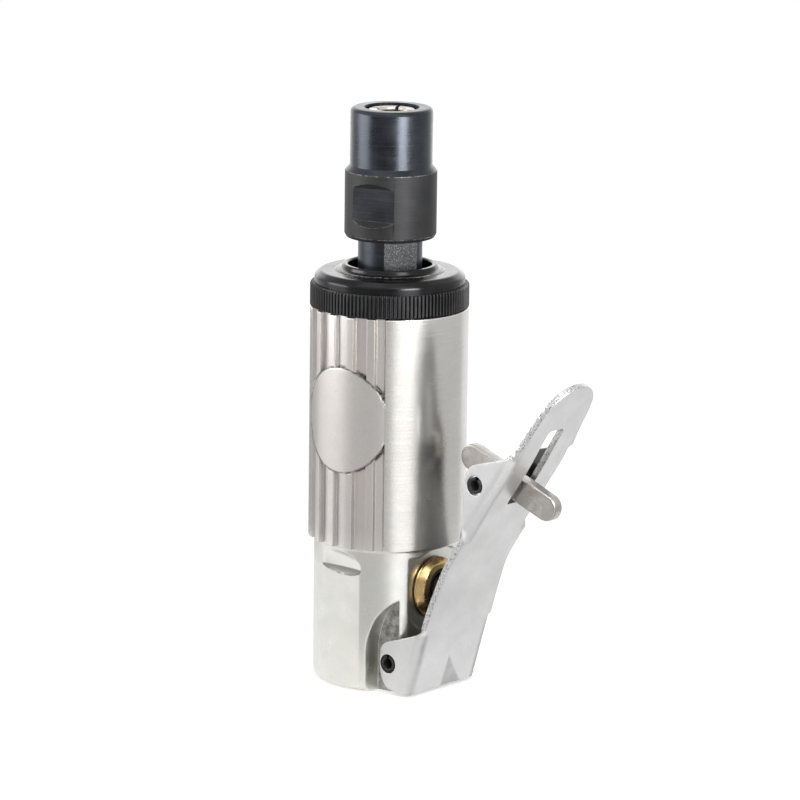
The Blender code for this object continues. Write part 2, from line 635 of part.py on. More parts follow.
def chuck(spindle, lifted, nut_axis):
    nose = piece(
        "collet_body",
        turned(
            [
                (0, NOSE_Z + 10.2), (SHAFT_R + GAP, NOSE_Z + 10.2), (SHAFT_R + GAP, NOSE_Z),
                (SPINDLE_R - 0.4, NOSE_Z), (SPINDLE_R, NOSE_Z + 0.4), (SPINDLE_R, NUT_Z0 + 13.2),
                (SPINDLE_R - 0.4, NUT_Z0 + 13.6), (SPINDLE_R - 0.8, NUT_Z0 + 13.6),
                (SPINDLE_R - 2.4, NUT_Z0 + 2.2), (SPINDLE_R - 2.4, NUT_Z0 - 0.5), (0, NUT_Z0 - 0.5),
            ],
            32,
        ),
        "steel",
        spindle,
    )
    for turn in (0, 180):
        flat = block(SPINDLE_FLAT, SPINDLE_R + 4.3, -9, 9, CAP_RIM_TOP - 2.8, NUT_Z0 - GAP)
        combine(nose, moved(flat, SPINDLE_FLAT_ANGLE + turn), label="flat")

    tail = SPINDLE_R - 2.8  # radius of the collet's rear end, and of its head
    head = tail + 0.7
    collet = piece(
        "collet",
        turned(
            [
                (COLLET_BORE_R, NUT_Z0 - 0.1), (tail - 0.4, NUT_Z0 - 0.1), (tail, NUT_Z0 + GAP), (tail, NUT_Z0 + 2.3),
                (tail + 1.8, NUT_Z0 + 15.3), (tail + 2.3, NUT_Z0 + 16.9), (head, NUT_TOP - 5.8), (head, NUT_TOP - 0.9),
                (head - 0.3, NUT_TOP - 0.5), (COLLET_BORE_R + 0.3, NUT_TOP - 0.5), (COLLET_BORE_R, NUT_TOP - 0.8),
            ],
            20,
        ),
        "steel",
        lifted,
    )
    for turn in (0, 90):
        slit = block(-SPINDLE_R - 1.3, SPINDLE_R + 1.3, -0.4, 0.4, NUT_Z0 + 5.2, NUT_TOP + 0.6)
        combine(collet, moved(slit, turn + 20), label="slit")

    bore, mouth = SPINDLE_R + GAP, head + 0.7
    nut = piece(
        "collet_nut",
        turned(
            [
                (bore, NUT_Z0 + 0.5), (bore + 0.4, NUT_Z0), (NUT_R - 0.8, NUT_Z0), (NUT_R - 0.2, NUT_Z0 + 0.25),
                (NUT_R, NUT_Z0 + 0.9), (NUT_R, NUT_SHOULDER_Z), (NUT_TOP_R, NUT_SHOULDER_Z + 1.3),
                (NUT_TOP_R, NUT_TOP - 1.0), (NUT_TOP_R - 0.3, NUT_TOP - 0.3), (NUT_TOP_R - 1.0, NUT_TOP),
                (mouth + 0.4, NUT_TOP), (mouth, NUT_TOP - 0.4), (mouth, NUT_TOP - 5.2), (bore, NUT_SHOULDER_Z + 1.8),
            ],
            32,
            turn=NUT_FLAT_ANGLE,
        ),
        "black",
        nut_axis,
    )
    low, high = NUT_Z0 + 4.9, NUT_SHOULDER_Z - 3.3
    flat = [(NUT_FLAT, low), (NUT_FLAT + 4, low - 4), (NUT_FLAT + 4, high + 4), (NUT_FLAT, high)]
    for turn in (0, 180):
        combine(nut, moved(outlined(flat, -14, 14, "Y"), NUT_FLAT_ANGLE + turn), label="flat")
    low, high = FRONT_BEARING_Z1 + GAP, NOSE_Z - GAP
    ring = [(SHAFT_R + GAP, low), (FRONT_BEARING[1] - GAP, low), (FRONT_BEARING[1] - GAP, high), (SHAFT_R + GAP, high)]
    piece("bearing_spacer", turned(ring, 24), "steel", spindle)


# ---- rear end ------------------------------------------------------------------


def rear_end(tool):
    piece(
        "inlet_bushing",
        turned(
            [
                (5.7, 1.2), (6.6, 0.3), (8.0, 0.3), (8.3, 0.6), (8.3, 13.7), (4.6, 13.7), (4.6, 12.6),
                (5.7, 12.6),
            ],
            28,
        ),
        "steel",
        tool,
    )
    screen = piece("inlet_screen", rod(5.4, 11.5, 12.3, 24), "brass", tool)
    combine(screen, together(rod(0.75, 11, 13, 8), ring_of_holes(2.6, range(0, 360, 60), 0.75, 11, 13, 8)), label="holes")
    grille = piece(
        "exhaust_grille",
        sector(9.6, 13.6, np.linspace(105, 255, 18), lambda t: 0.3, lambda t: 1.8),
        "black",
        tool,
    )
    slots = [
        sector(10.6, 12.6, np.linspace(a - 5, a + 5, 3), lambda t: -1, lambda t: 3)
        for a in (132, 148, 164, 180, 196, 212, 228)
    ]
    combine(grille, together(*slots), label="slots")
    for number, a in ((1, 114), (2, 246)):
        at = (11.6 * math.cos(math.radians(a)), 11.6 * math.sin(math.radians(a)), 0)
        combine(grille, turned([(0, -1), (1.75, -1), (1.75, 1.1), (1.2, 1.4), (1.2, 3), (0, 3)], 12, "Z", at), label="screw_hole")
        screw = piece(
            f"grille_screw_{number}",
            turned([(0, 0.1), (1.2, 0.1), (1.45, 0.3), (1.45, 0.9), (0.9, 1.1), (0.9, 5.8), (0.5, 6.3), (0, 6.3)], 12, "Z", at),
            "steel",
            tool,
        )
        combine(screw, block(at[0] - 2, at[0] + 2, at[1] - 0.2, at[1] + 0.2, -1, 0.5), label="slot")
    piece(
        "muffler_pad",
        sector(9.65, 13.55, np.linspace(124, 236, 13), lambda t: 2.1, lambda t: 5.2),
        "felt",
        tool,
    )


# ---- throttle valve --------------------------------------------------------------


def valve(tool, stem_axis):
    centre = (0, 0, VALVE_Z)
    piece(
        "valve_bushing",
        turned(
            [
                (4.1, 8.0), (6.0, 8.0), (6.0, 15.2), (7.5, 15.2), (7.5, 15.7), (7.2, 16.4), (6.5, 17.2),
                (5.75, 17.7), (5.2, 17.7), (5.1, 17.6), (5.1, 16.3), (4.1, 16.3),
            ],
            24,
            "X",
            centre,
        ),
        "brass",
        tool,
    )
    piece("valve_bushing_oring", turned([(4.35 + 0.44 * math.cos(a), 16.95 + 0.44 * math.sin(a)) for a in np.radians(range(0, 360, 60))], 20, "X", centre), "rubber", tool)
    tip = lever_x(VALVE_Z) - SHEET / lever_lean(VALVE_Z)[1] - STEM_CLEAR
    stem = [
        (0, -7.0), (1.2, -7.0), (1.2, -6.6), (5.0, -6.6), (5.3, -6.3), (5.3, -4.9), (5.1, -4.7), (3.0, -4.7),
        (2.0, -3.6), (2.0, 6.0), (STEM_R - 0.3, 7.3), (STEM_R, 7.6), (STEM_R, tip - 1.3),
        (STEM_R - 0.5, tip - 0.6), (STEM_R - 1.6, tip - 0.15), (0, tip),
    ]
    piece("valve_stem", turned(stem, 16, "X", centre), "steel", stem_axis)
    spring = coil(3.0, 0.8, 4.0, 12)
    spring = [(-10.4 + z, x, y + VALVE_Z) for x, y, z in spring]
    piece("valve_spring", wire(spring, 0.3), "steel", tool)


# ---- lever and lock ----------------------------------------------------------------


def lever_x(z):
    zs, xs = zip(*LEVER_FACE)
    return float(np.interp(z, zs, xs))


def lever_lean(z):
    """The face's direction at a height, as a unit (X, Z)."""
    low, high = max(z - 2.5, 0.5), min(z + 2.5, LEVER_FACE[-1][0])
    d = np.array([lever_x(high) - lever_x(low), high - low])
    return d / np.linalg.norm(d)


def lever_section(z, level, half, depth, bend, along=0.0):
    """The lever's U section: level is 1 for a horizontal cut, 0 for one square to the
    sheet; depth is how far the ears reach in from the outer face."""
    forward = lever_lean(z)
    face = np.array([lever_x(z), z]) + along * forward
    square = np.array([-forward[1], forward[0]])
    inward = level * np.array([-1.0, 0.0]) + (1 - level) * square
    inward /= np.linalg.norm(inward)
    sheet = SHEET / abs(inward.dot(square))
    depth = max(depth, sheet + 0.05)
    fillet = max(bend - SHEET, 0.15)
    into = min(fillet, (depth - sheet) * 0.5)
    outer = [
        (depth, half), (bend, half), (bend * 0.5, half - bend * 0.134), (bend * 0.134, half - bend * 0.5),
        (0.0, half - bend),
    ]
    inner = [
        (sheet, half - SHEET - fillet), (sheet + into * 0.3, half - SHEET - fillet * 0.3),
        (sheet + into, half - SHEET), (depth, half - SHEET),
    ]
    path = outer + [(n, -y) for n, y in reversed(outer)] + [(n, -y) for n, y in reversed(inner)] + inner
    return [(face[0] + n * inward[0], y, face[1] + n * inward[1]) for n, y in path]


def lever(pivot):
    foot = (
        (0.5, 15.4), (1.3, 11.9), (2.2, 10.7), (3.6, 9.9), (8.3, 9.2), (10.6, 9.4), (12.0, 10.2),
        (12.6, 11.2), (15.2, 17.5),
    )
    sections = [lever_section(z, 1.0, FOOT_HALF, lever_x(z) - x, 2.5) for z, x in foot]
    for z, level, half, depth, bend in (
        (16.2, 1.0, FOOT_HALF, 2.9, 2.4), (17.4, 0.9, FOOT_HALF - 0.1, 0, 1.2), (19.0, 0.7, FOOT_HALF - 0.3, 0, 0.6),
        (21.5, 0.4, FOOT_HALF - 0.7, 0, 0.5), (24.5, 0.1, EAR_HALF + 0.5, 0, 0.5), (29.5, 0, EAR_HALF + 0.1, 0, 0.5),
        (37.5, 0, EAR_HALF, 0, 0.5), (42.0, 0, EAR_HALF, 1.9, 1.2), (43.6, 0, EAR_HALF, 3.0, 2.5),
        (46.9, 0, EAR_HALF, 5.7, 2.5), (49.1, 0, EAR_HALF, 7.7, 2.5), (52.0, 0, EAR_HALF, 9.3, 2.5),
        (54.8, 0, EAR_HALF, 8.8, 2.5), (58.0, 0, EAR_HALF, 5.9, 2.5), (60.4, 0, EAR_HALF, 3.6, 2.4),
        (62.2, 0, 10.9, 0, 1.2), (64.2, 0, 10.1, 0, 0.5), (67.5, 0, 9.6, 0, 0.5),
        (TIP_BASE_Z, 0, TIP_R + 0.3, 0, 0.5),
    ):
        sections.append(lever_section(z, level, half, depth, bend))
    for share in (22, 42, 58, 72, 86):
        a = math.radians(share)
        sections.append(lever_section(TIP_BASE_Z, 0, max(TIP_R * math.cos(a), 2.2), 0, 0.4, TIP_R * math.sin(a)))
    made = piece("lever", loft(sections), "chrome", pivot)
    slot = [(-SLOT_HALF, SLOT_BOTTOM), (SLOT_HALF, SLOT_BOTTOM)] + arc(0, SLOT_TOP - SLOT_HALF, SLOT_HALF, 0, 180, 9)
    combine(made, outlined(slot, LOCK_PIVOT[0] + 1, 62, "X"), label="slot")
    combine(made, rod(PIN_HOLE_R, -20, 20, 20, "Y", (LEVER_PIVOT[0], 0, LEVER_PIVOT[1])), label="pin_hole")
    combine(made, rod(PIN_HOLE_R, -20, 20, 20, "Y", (LOCK_PIVOT[0], 0, LOCK_PIVOT[1])), label="pin_hole")
    return made


def spring_pin(name, at, half, parent, open_at):
    """A rolled pin: a tube with a slit along it."""
    outline = arc(at[0], at[1], PIN_R, open_at + 10, open_at + 350, 19)
    outline += arc(at[0], at[1], PIN_R - PIN_WALL, open_at + 350, open_at + 10, 13)
    piece(name, outlined(outline, -half, half, "Y"), "black", parent)


def lock(lever_axis, lock_axis):
    x, z = LOCK_PIVOT
    r = LOCK_HALF_WIDTH
    outline = arc(LOCK_OUT - r, 0, r, -90, 90, 11) + arc(-LOCK_IN + r, 0, r, 90, 270, 11)
    c, s = math.cos(math.radians(LOCK_ANGLE)), math.sin(math.radians(LOCK_ANGLE))
    outline = [(x + u * c - v * s, z + u * s + v * c) for u, v in outline]
    bar = piece("lock_bar", outlined(outline, -LOCK_HALF_THICK, LOCK_HALF_THICK, "Y"), "chrome", lock_axis)
    combine(bar, rod(PIN_HOLE_R, -4, 4, 20, "Y", (x, 0, z)), label="pin_hole")
    spring_pin("lock_pin", LOCK_PIVOT, EAR_HALF, lever_axis, 200)
    # torsion spring round the pin, beside the bar, one leg against the lever
    helix = coil(PIN_R + 0.85, 1.0, 3.0, 12, 40)
    body = [(x + u, LOCK_HALF_THICK + 0.85 + w, z + v) for u, v, w in helix]
    first, last = body[0], body[-1]
    lead = [(first[0] - 5.2, first[1], first[2] + 4.6), (first[0] - 2.6, first[1], first[2] + 2.4)]
    tail = [(last[0] - 2.2, last[1], last[2] + 2.5), (last[0] - 3.8, last[1], last[2] + 4.4)]
    piece("lock_spring", wire(lead + body + tail, 0.35), "black", lever_axis)


# ---- the tool --------------------------------------------------------------------

clear_scene()
PIECES = collection("die_grinder")
CUTTERS = collection("cutters")

tool_axis = empty("tool_axis", 0, 0)
tool_axis.location.x = -ORIGIN_X * MM
tool_axis["at"] = (0.0, 0.0)
spindle_axis = empty("spindle_axis", 0, 0, tool_axis)
front_cage_axis = empty("front_cage_axis", 0, 0, tool_axis)
rear_cage_axis = empty("rear_cage_axis", 0, 0, tool_axis)
collet_lift = empty("collet_lift", 0, 0, spindle_axis)
nut_axis = empty("nut_axis", 0, 0, collet_lift)
valve_axis = empty("valve_axis", 0, VALVE_Z, tool_axis)
lever_axis = empty("lever_axis", *LEVER_PIVOT, tool_axis)
lock_axis = empty("lock_axis", *LOCK_PIVOT, lever_axis)

housing(tool_axis)
clamp_cap(tool_axis)
motor(tool_axis, spindle_axis)
bearing("front", tool_axis, front_cage_axis, spindle_axis, FRONT_BEARING, FRONT_BEARING_Z0, FRONT_BEARING_Z1, 6, 24)
bearing("rear", tool_axis, rear_cage_axis, spindle_axis, REAR_BEARING, REAR_BEARING_Z0, REAR_BEARING_Z1, 6, 20)
chuck(spindle_axis, collet_lift, nut_axis)
rear_end(tool_axis)
valve(tool_axis, valve_axis)
spring_pin("lever_pin", LEVER_PIVOT, FOOT_HALF, tool_axis, 90)
lever(lever_axis)
lock(lever_axis, lock_axis)
for obj in PIECES.objects:
    if obj.type == "MESH":
        for face in obj.data.polygons:
            face.use_smooth = True
        obj.modifiers.new("normals", "WEIGHTED_NORMAL").keep_sharp = True
bpy.context.view_layer.update()
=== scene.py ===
"""Looks of a mini pneumatic die grinder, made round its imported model.

Each visible piece is turned, milled or bent again here with its fine edges, and the
pieces inside keep their own shape and get a better finish. Shapes are worked out in
millimetres about the tool's own axis, with z = 0 at the rear face.
"""

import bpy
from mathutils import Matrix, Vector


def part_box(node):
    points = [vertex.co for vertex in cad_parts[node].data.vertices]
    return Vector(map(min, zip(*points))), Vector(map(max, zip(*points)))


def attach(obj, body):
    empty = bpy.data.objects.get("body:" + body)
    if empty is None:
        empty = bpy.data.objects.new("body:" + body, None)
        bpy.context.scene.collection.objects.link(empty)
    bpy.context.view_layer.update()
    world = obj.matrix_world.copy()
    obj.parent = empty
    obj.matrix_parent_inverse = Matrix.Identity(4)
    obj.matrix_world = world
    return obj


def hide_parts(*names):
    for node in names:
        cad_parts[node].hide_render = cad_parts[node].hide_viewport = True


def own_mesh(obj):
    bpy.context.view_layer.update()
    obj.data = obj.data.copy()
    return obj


bl_info = {
    "name": "Die Grinder Looks",
    "version": (1, 0, 0),
    "blender": (4, 5, 0),
    "location": "View3D > Sidebar > Die Grinder",
    "description": "Makes the visible pieces, finishes and studio of a mini die grinder",
    "category": "Object",
}

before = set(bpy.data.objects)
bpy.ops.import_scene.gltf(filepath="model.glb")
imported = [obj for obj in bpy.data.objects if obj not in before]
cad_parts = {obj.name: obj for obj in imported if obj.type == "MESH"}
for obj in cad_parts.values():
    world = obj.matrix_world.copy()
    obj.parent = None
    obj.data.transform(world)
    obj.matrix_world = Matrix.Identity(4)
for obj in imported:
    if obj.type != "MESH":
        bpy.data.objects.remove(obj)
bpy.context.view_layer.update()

import math

import bmesh
import bpy
import numpy as np
from bpy.props import FloatProperty, FloatVectorProperty, IntProperty, PointerProperty
from mathutils import Matrix, Quaternion, Vector

MM = 0.001
FULL = 2 * math.pi
CAP_LOW, CAP_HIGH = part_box("clamp_cap")
AXIS_X = (CAP_LOW.x + CAP_HIGH.x) / 2  # the tool's own axis, in metres
KNURL_R = (CAP_HIGH.x - CAP_LOW.x) / 2 / MM
NUT_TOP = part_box("collet_nut")[1].z / MM


def length(name, description, default):
    """A size that is given here in mm and kept in metres."""
    return FloatProperty(
        name=name, description=description, default=default * MM, min=0.0, unit="LENGTH", precision=5,
    )


def colour(name, description, default):
    return FloatVectorProperty(
        name=name, description=description, default=default, size=3, subtype="COLOR", min=0.0, max=1.0,
    )


# ---- sizes and colours ---------------------------------------------------------


class HousingSettings(bpy.types.PropertyGroup):
    body_radius: length("Body radius", "Radius of the wide polished part", 19.0)
    rear_radius: length("Rear radius", "Radius of the rear part", 17.55)
    step_height: length("Step height", "Height at which the wide part starts", 34.9)
    top_height: length("Top height", "Height of the housing's front end", 91.5)
    panel_radius: length("Panel radius", "Radius of the floor between the ribs", 17.85)
    rib_width: length("Rib width", "Width of each rib", 2.5)
    pad_radius: length("Pad radius", "Radius of the round pad", 12.75)
    polished: colour("Polished", "Colour of the polished part", (0.665, 0.655, 0.635))
    cast: colour("Cast", "Colour of the ribs and the pad", (0.62, 0.595, 0.575))
    rear: colour("Rear", "Colour of the rear part", (0.70, 0.70, 0.665))


class NoseSettings(bpy.types.PropertyGroup):
    knurl_teeth: IntProperty(
        name="Knurl teeth", description="Teeth round the clamp cap", default=121, min=12, max=240,
    )
    tooth_depth: length("Tooth depth", "Depth of the knurl", 0.6)
    nut_radius: length("Nut radius", "Radius of the nut's wide part", 11.0)
    nut_top_radius: length("Nut nose radius", "Radius of the nut's nose", 9.85)
    spindle_radius: length("Spindle radius", "Radius of the spindle's nose", 7.7)
    oxide: colour("Black oxide", "Colour of the blackened steel", (0.024, 0.027, 0.033))
    bright: colour("Bright steel", "Colour of the collet", (0.62, 0.58, 0.53))


class ThrottleSettings(bpy.types.PropertyGroup):
    sheet: length("Sheet", "Thickness of the lever's sheet", 1.6)
    bend: length("Bend radius", "Outer radius of the lever's folds", 2.4)
    pin_radius: length("Pin radius", "Radius of the rolled pins", 2.0)
    bar_thickness: length("Bar thickness", "Thickness of the lock bar", 2.9)
    plating: colour("Plating", "Colour of the plated lever", (0.63, 0.63, 0.63))
    brass: colour("Brass", "Colour of the valve bushing", (0.62, 0.44, 0.20))


class StudioSettings(bpy.types.PropertyGroup):
    azimuth: FloatProperty(
        name="Camera azimuth", description="Direction the camera looks from",
        default=math.radians(40.5), subtype="ANGLE",
    )
    elevation: FloatProperty(
        name="Camera elevation", description="Angle above level that the camera looks from",
        default=math.radians(12.4), subtype="ANGLE",
    )
    distance: FloatProperty(
        name="Camera distance", description="Distance from the middle of the tool", default=1.2, unit="LENGTH",
    )
    key_power: FloatProperty(
        name="Key power", description="Power of the key lamp", default=1.6, unit="POWER",
    )
    card_distance: length("Card distance", "Distance of the reflection cards from the tool", 140.0)
    floor: colour("Floor", "Colour of the floor", (0.93, 0.93, 0.93))


# ---- shapes, in mm -------------------------------------------------------------

ALONG = {
    "Z": Matrix.Identity(4),
    "X": Matrix.Rotation(math.pi / 2, 4, "Y"),
    "Y": Matrix.Rotation(-math.pi / 2, 4, "X"),
}


def filleted(points, closed=True, steps=5):
    """The outline with a rounded corner at each point that gives a third number."""
    made = []
    count = len(points)
    for i, point in enumerate(points):
        here = Vector(point[:2])
        if len(point) < 3 or (not closed and i in (0, count - 1)):
            made.append(tuple(here))
            continue
        before, after = Vector(points[i - 1][:2]) - here, Vector(points[(i + 1) % count][:2]) - here
        half = before.angle(after) / 2
        reach = min(point[2] / math.tan(half), before.length * 0.48, after.length * 0.48)
        a, b = here + before.normalized() * reach, here + after.normalized() * reach
        for k in range(steps + 1):
            t = k / steps
            made.append(tuple(a * (1 - t) ** 2 + here * 2 * t * (1 - t) + b * t * t))
    return made


def flowing(points, per=6):
    """A smooth curve through the points."""
    made = []
    for i in range(len(points) - 1):
        p0 = np.array(points[max(i - 1, 0)])
        p1, p2 = np.array(points[i]), np.array(points[i + 1])
        p3 = np.array(points[min(i + 2, len(points) - 1)])
        for k in range(per):
            t = k / per
            made.append(tuple(
                0.5 * (2 * p1 + (p2 - p0) * t + (2 * p0 - 5 * p1 + 4 * p2 - p3) * t * t
                       + (3 * p1 - p0 - 3 * p2 + p3) * t**3)
            ))
    made.append(tuple(points[-1]))
    return made


def around(r, angles, cx=0.0, cy=0.0):
    """Points at a radius from a centre, at angles in degrees."""
    return [(cx + r * math.cos(a), cy + r * math.sin(a)) for a in np.radians(angles)]


def arc(cx, cy, r, a0, a1, count):
    return around(r, np.linspace(a0, a1, count), cx, cy)


def verts_in(geom):
    return [part for part in geom if isinstance(part, bmesh.types.BMVert)]


def set_down(work, axis="Z", at=(0, 0, 0)):
    bmesh.ops.transform(work, matrix=Matrix.Translation(at) @ ALONG[axis], verts=work.verts)
    return work


def turned(profile, steps=160, axis="Z", at=(0, 0, 0)):
    """A profile of (radius, along, fillet) turned on the lathe. A closed profile that
    stays off the axis makes a ring."""
    ring = min(p[0] for p in profile) > 1e-6
    profile = filleted(profile, ring)
    work = bmesh.new()
    points = [work.verts.new((r, 0, along)) for r, along in profile]
    ends = points[1:] + points[:1] if ring else points[1:]
    lines = [work.edges.new(pair) for pair in zip(points, ends)]
    bmesh.ops.spin(
        work, geom=points + lines, cent=(0, 0, 0), axis=(0, 0, 1), dvec=(0, 0, 0),
        angle=FULL, steps=steps, use_merge=True, use_duplicate=False,
    )
    bmesh.ops.remove_doubles(work, verts=work.verts, dist=1e-4)
    bmesh.ops.recalc_face_normals(work, faces=work.faces)
    return set_down(work, axis, at)


def rod(r, a0, a1, steps=48, axis="Z", at=(0, 0, 0)):
    work = bmesh.new()
    bmesh.ops.create_cone(
        work, cap_ends=True, segments=steps, radius1=r, radius2=r, depth=a1 - a0,
        matrix=Matrix.Translation((0, 0, (a0 + a1) / 2)),
    )
    return set_down(work, axis, at)


def radial_rod(r, r0, r1, angle, z, width=1.0, steps=96):
    """A round bar that points out from the axis at an angle in degrees."""
    work = bmesh.new()
    bmesh.ops.create_cone(
        work, cap_ends=True, segments=steps, radius1=r, radius2=r, depth=r1 - r0,
        matrix=Matrix.Rotation(math.radians(angle), 4, "Z")
        @ Matrix.Translation(((r0 + r1) / 2, 0, z))
        @ Matrix.Diagonal((1, width, 1, 1))
        @ ALONG["X"],
    )
    return work


def block(x0, x1, y0, y1, z0, z1, angle=0.0):
    work = bmesh.new()
    bmesh.ops.create_cube(
        work, size=1.0,
        matrix=Matrix.Rotation(math.radians(angle), 4, "Z")
        @ Matrix.Translation(((x0 + x1) / 2, (y0 + y1) / 2, (z0 + z1) / 2))
        @ Matrix.Diagonal((x1 - x0, y1 - y0, z1 - z0, 1)),
    )
    return work


def ring_part(r0, r1, z0, z1, a0, a1, steps=24):
    """A curved plate between two radii and two angles in degrees."""
    work = bmesh.new()
    a0, a1 = sorted((math.radians(a0), math.radians(a1)))
    section = ((r0, z0), (r1, z0), (r1, z1), (r0, z1))
    corners = [work.verts.new((r * math.cos(a0), r * math.sin(a0), z)) for r, z in section]
    face = work.faces.new(corners)
    bmesh.ops.spin(
        work, geom=[face] + corners + list(face.edges), cent=(0, 0, 0), axis=(0, 0, 1), dvec=(0, 0, 0),
        angle=a1 - a0, steps=steps, use_merge=False, use_duplicate=False,
    )
    bmesh.ops.remove_doubles(work, verts=work.verts, dist=1e-4)
    bmesh.ops.recalc_face_normals(work, faces=work.faces)
    return work


def prism(outline, a0, a1, axis="Y", angle=0.0):
    """An outline (X, Z) given thickness along Y, or (X, Y) along Z."""
    work = bmesh.new()
    face = work.faces.new([work.verts.new((u, v, 0)) for u, v in outline])
    grown = bmesh.ops.extrude_face_region(work, geom=[face])["geom"]
    bmesh.ops.translate(work, vec=(0, 0, a1 - a0), verts=verts_in(grown))
    bmesh.ops.recalc_face_normals(work, faces=work.faces)
    lay = {
        "Z": Matrix.Translation((0, 0, a0)),
        "Y": Matrix.Translation((0, a1, 0)) @ Matrix.Rotation(math.pi / 2, 4, "X"),
    }[axis]
    bmesh.ops.transform(work, matrix=Matrix.Rotation(math.radians(angle), 4, "Z") @ lay, verts=work.verts)
    return work


def gathered(shapes):
    """Separate solids as one mesh, for one cut."""
    work = bmesh.new()
    for shape in shapes:
        held = mesh_of(shape, "held")
        work.from_mesh(held)
        bpy.data.meshes.remove(held)
    return work


def mesh_of(work, name):
    mesh = bpy.data.meshes.new(name)
    work.to_mesh(mesh)
    work.free()
    return mesh


def solid(work, name="blank"):
    made = bpy.data.objects.new(name, mesh_of(work, name))
    bpy.context.scene.collection.objects.link(made)
    return made


def evaluated_mesh(obj):
    graph = bpy.context.evaluated_depsgraph_get()
    graph.update()
    return bpy.data.meshes.new_from_object(obj.evaluated_get(graph))


def carve(target, shape):
    """Cuts a shape from a blank at once."""
    tool = shape if isinstance(shape, bpy.types.Object) else solid(shape, "cutter")
    change = target.modifiers.new("carve", "BOOLEAN")
    change.operation = "DIFFERENCE"
    change.solver = "EXACT"
    change.object = tool
    result, old = evaluated_mesh(target), target.data
    if not result.polygons:
        raise RuntimeError(f"nothing is left of {target.name} after a cut")
    target.modifiers.clear()
    target.data = result
    bpy.data.meshes.remove(old)
    tool_mesh = tool.data
    bpy.data.objects.remove(tool, do_unlink=True)
    bpy.data.meshes.remove(tool_mesh)
    return target


def plate(outlines, thickness, edge):
    """Sheet cut to outlines, the first the rim and the rest openings, with broken edges.
    It lies flat on Z = 0."""
    curve = bpy.data.curves.new("blank", "CURVE")
    curve.dimensions = "2D"
    curve.fill_mode = "BOTH"
    curve.extrude = thickness / 2 - edge
    curve.bevel_depth = edge
    curve.bevel_resolution = 1
    curve.offset = -edge
    for outline in outlines:
        spline = curve.splines.new("POLY")
        spline.points.add(len(outline) - 1)
        for point, (u, v) in zip(spline.points, outline):
            point.co = (u, v, 0, 1)
        spline.use_cyclic_u = True
    guide = bpy.data.objects.new("blank", curve)
    bpy.context.scene.collection.objects.link(guide)
    mesh = evaluated_mesh(guide)
    bpy.data.objects.remove(guide, do_unlink=True)
    bpy.data.curves.remove(curve)
    mesh.materials.clear()
    work = bmesh.new()
    work.from_mesh(mesh)
    bpy.data.meshes.remove(mesh)
    bmesh.ops.remove_doubles(work, verts=work.verts, dist=1e-4)
    bmesh.ops.recalc_face_normals(work, faces=work.faces)
    return work


def coiled(radius, wire, pitch, turns, legs, sides=8, per_turn=28):
    """Round wire wound about Z, with a straight leg at each end."""
    work = bmesh.new()
    start = Matrix.Translation((radius, 0, 0)) @ Matrix.Rotation(math.pi / 2, 4, "X")
    ring = bmesh.ops.create_circle(work, cap_ends=True, segments=sides, radius=wire, matrix=start)
    face = ring["verts"][0].link_faces[0]
    bmesh.ops.spin(
        work, geom=[face] + list(face.edges) + list(face.verts), cent=(0, 0, 0), axis=(0, 0, 1),
        dvec=(0, 0, pitch / per_turn), angle=FULL * turns, steps=int(per_turn * turns),
        use_merge=False, use_duplicate=False,
    )
    caps = sorted((f for f in work.faces if len(f.verts) == sides), key=lambda f: f.calc_center_median().z)
    for cap, leg in ((caps[-1], legs[1]), (caps[0], legs[0])):
        for step in leg:
            grown = bmesh.ops.extrude_face_region(work, geom=[cap])
            bmesh.ops.delete(work, geom=[cap], context="FACES_ONLY")
            cap = next(f for f in grown["geom"] if isinstance(f, bmesh.types.BMFace))
            bmesh.ops.translate(work, vec=step, verts=list(cap.verts))
    bmesh.ops.recalc_face_normals(work, faces=work.faces)
    return work


def finished(obj, name, body, stands_for, finishes, zone=None, smooth=32.0):
    """Puts a blank in its place in the frame, with its finishes, as a named piece. It
    rides on a body and stands for the listed nodes, and zone gives each face's finish."""
    obj.name = obj.data.name = name
    mesh = obj.data
    mesh.materials.clear()
    for finish in finishes:
        mesh.materials.append(finish)
    for face in mesh.polygons:
        face.material_index = zone(face.center, face.normal) if zone else 0
    mesh.transform(Matrix.Translation((AXIS_X, 0, 0)) @ Matrix.Scale(MM, 4))
    mesh.shade_smooth()
    mesh.set_sharp_from_angle(angle=math.radians(smooth))
    normals = obj.modifiers.new("normals", "WEIGHTED_NORMAL")
    normals.keep_sharp = True
    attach(obj, body)
    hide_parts(*stands_for)
    return obj


# ---- finishes ------------------------------------------------------------------


def plug(tree, value, socket):
    """Links a socket to another node's output, or sets it to a plain value."""
    if isinstance(value, bpy.types.NodeSocket):
        tree.links.new(value, socket)
    else:
        socket.default_value = value


def add_node(tree, kind, values=None, **settings):
    """A node with its own settings, and with its sockets linked or set to the values."""
    made = tree.nodes.new("ShaderNode" + kind)
    for key, value in settings.items():
        setattr(made, key, value)
    for key, value in (values or {}).items():
        plug(tree, value, made.inputs[key])
    return made


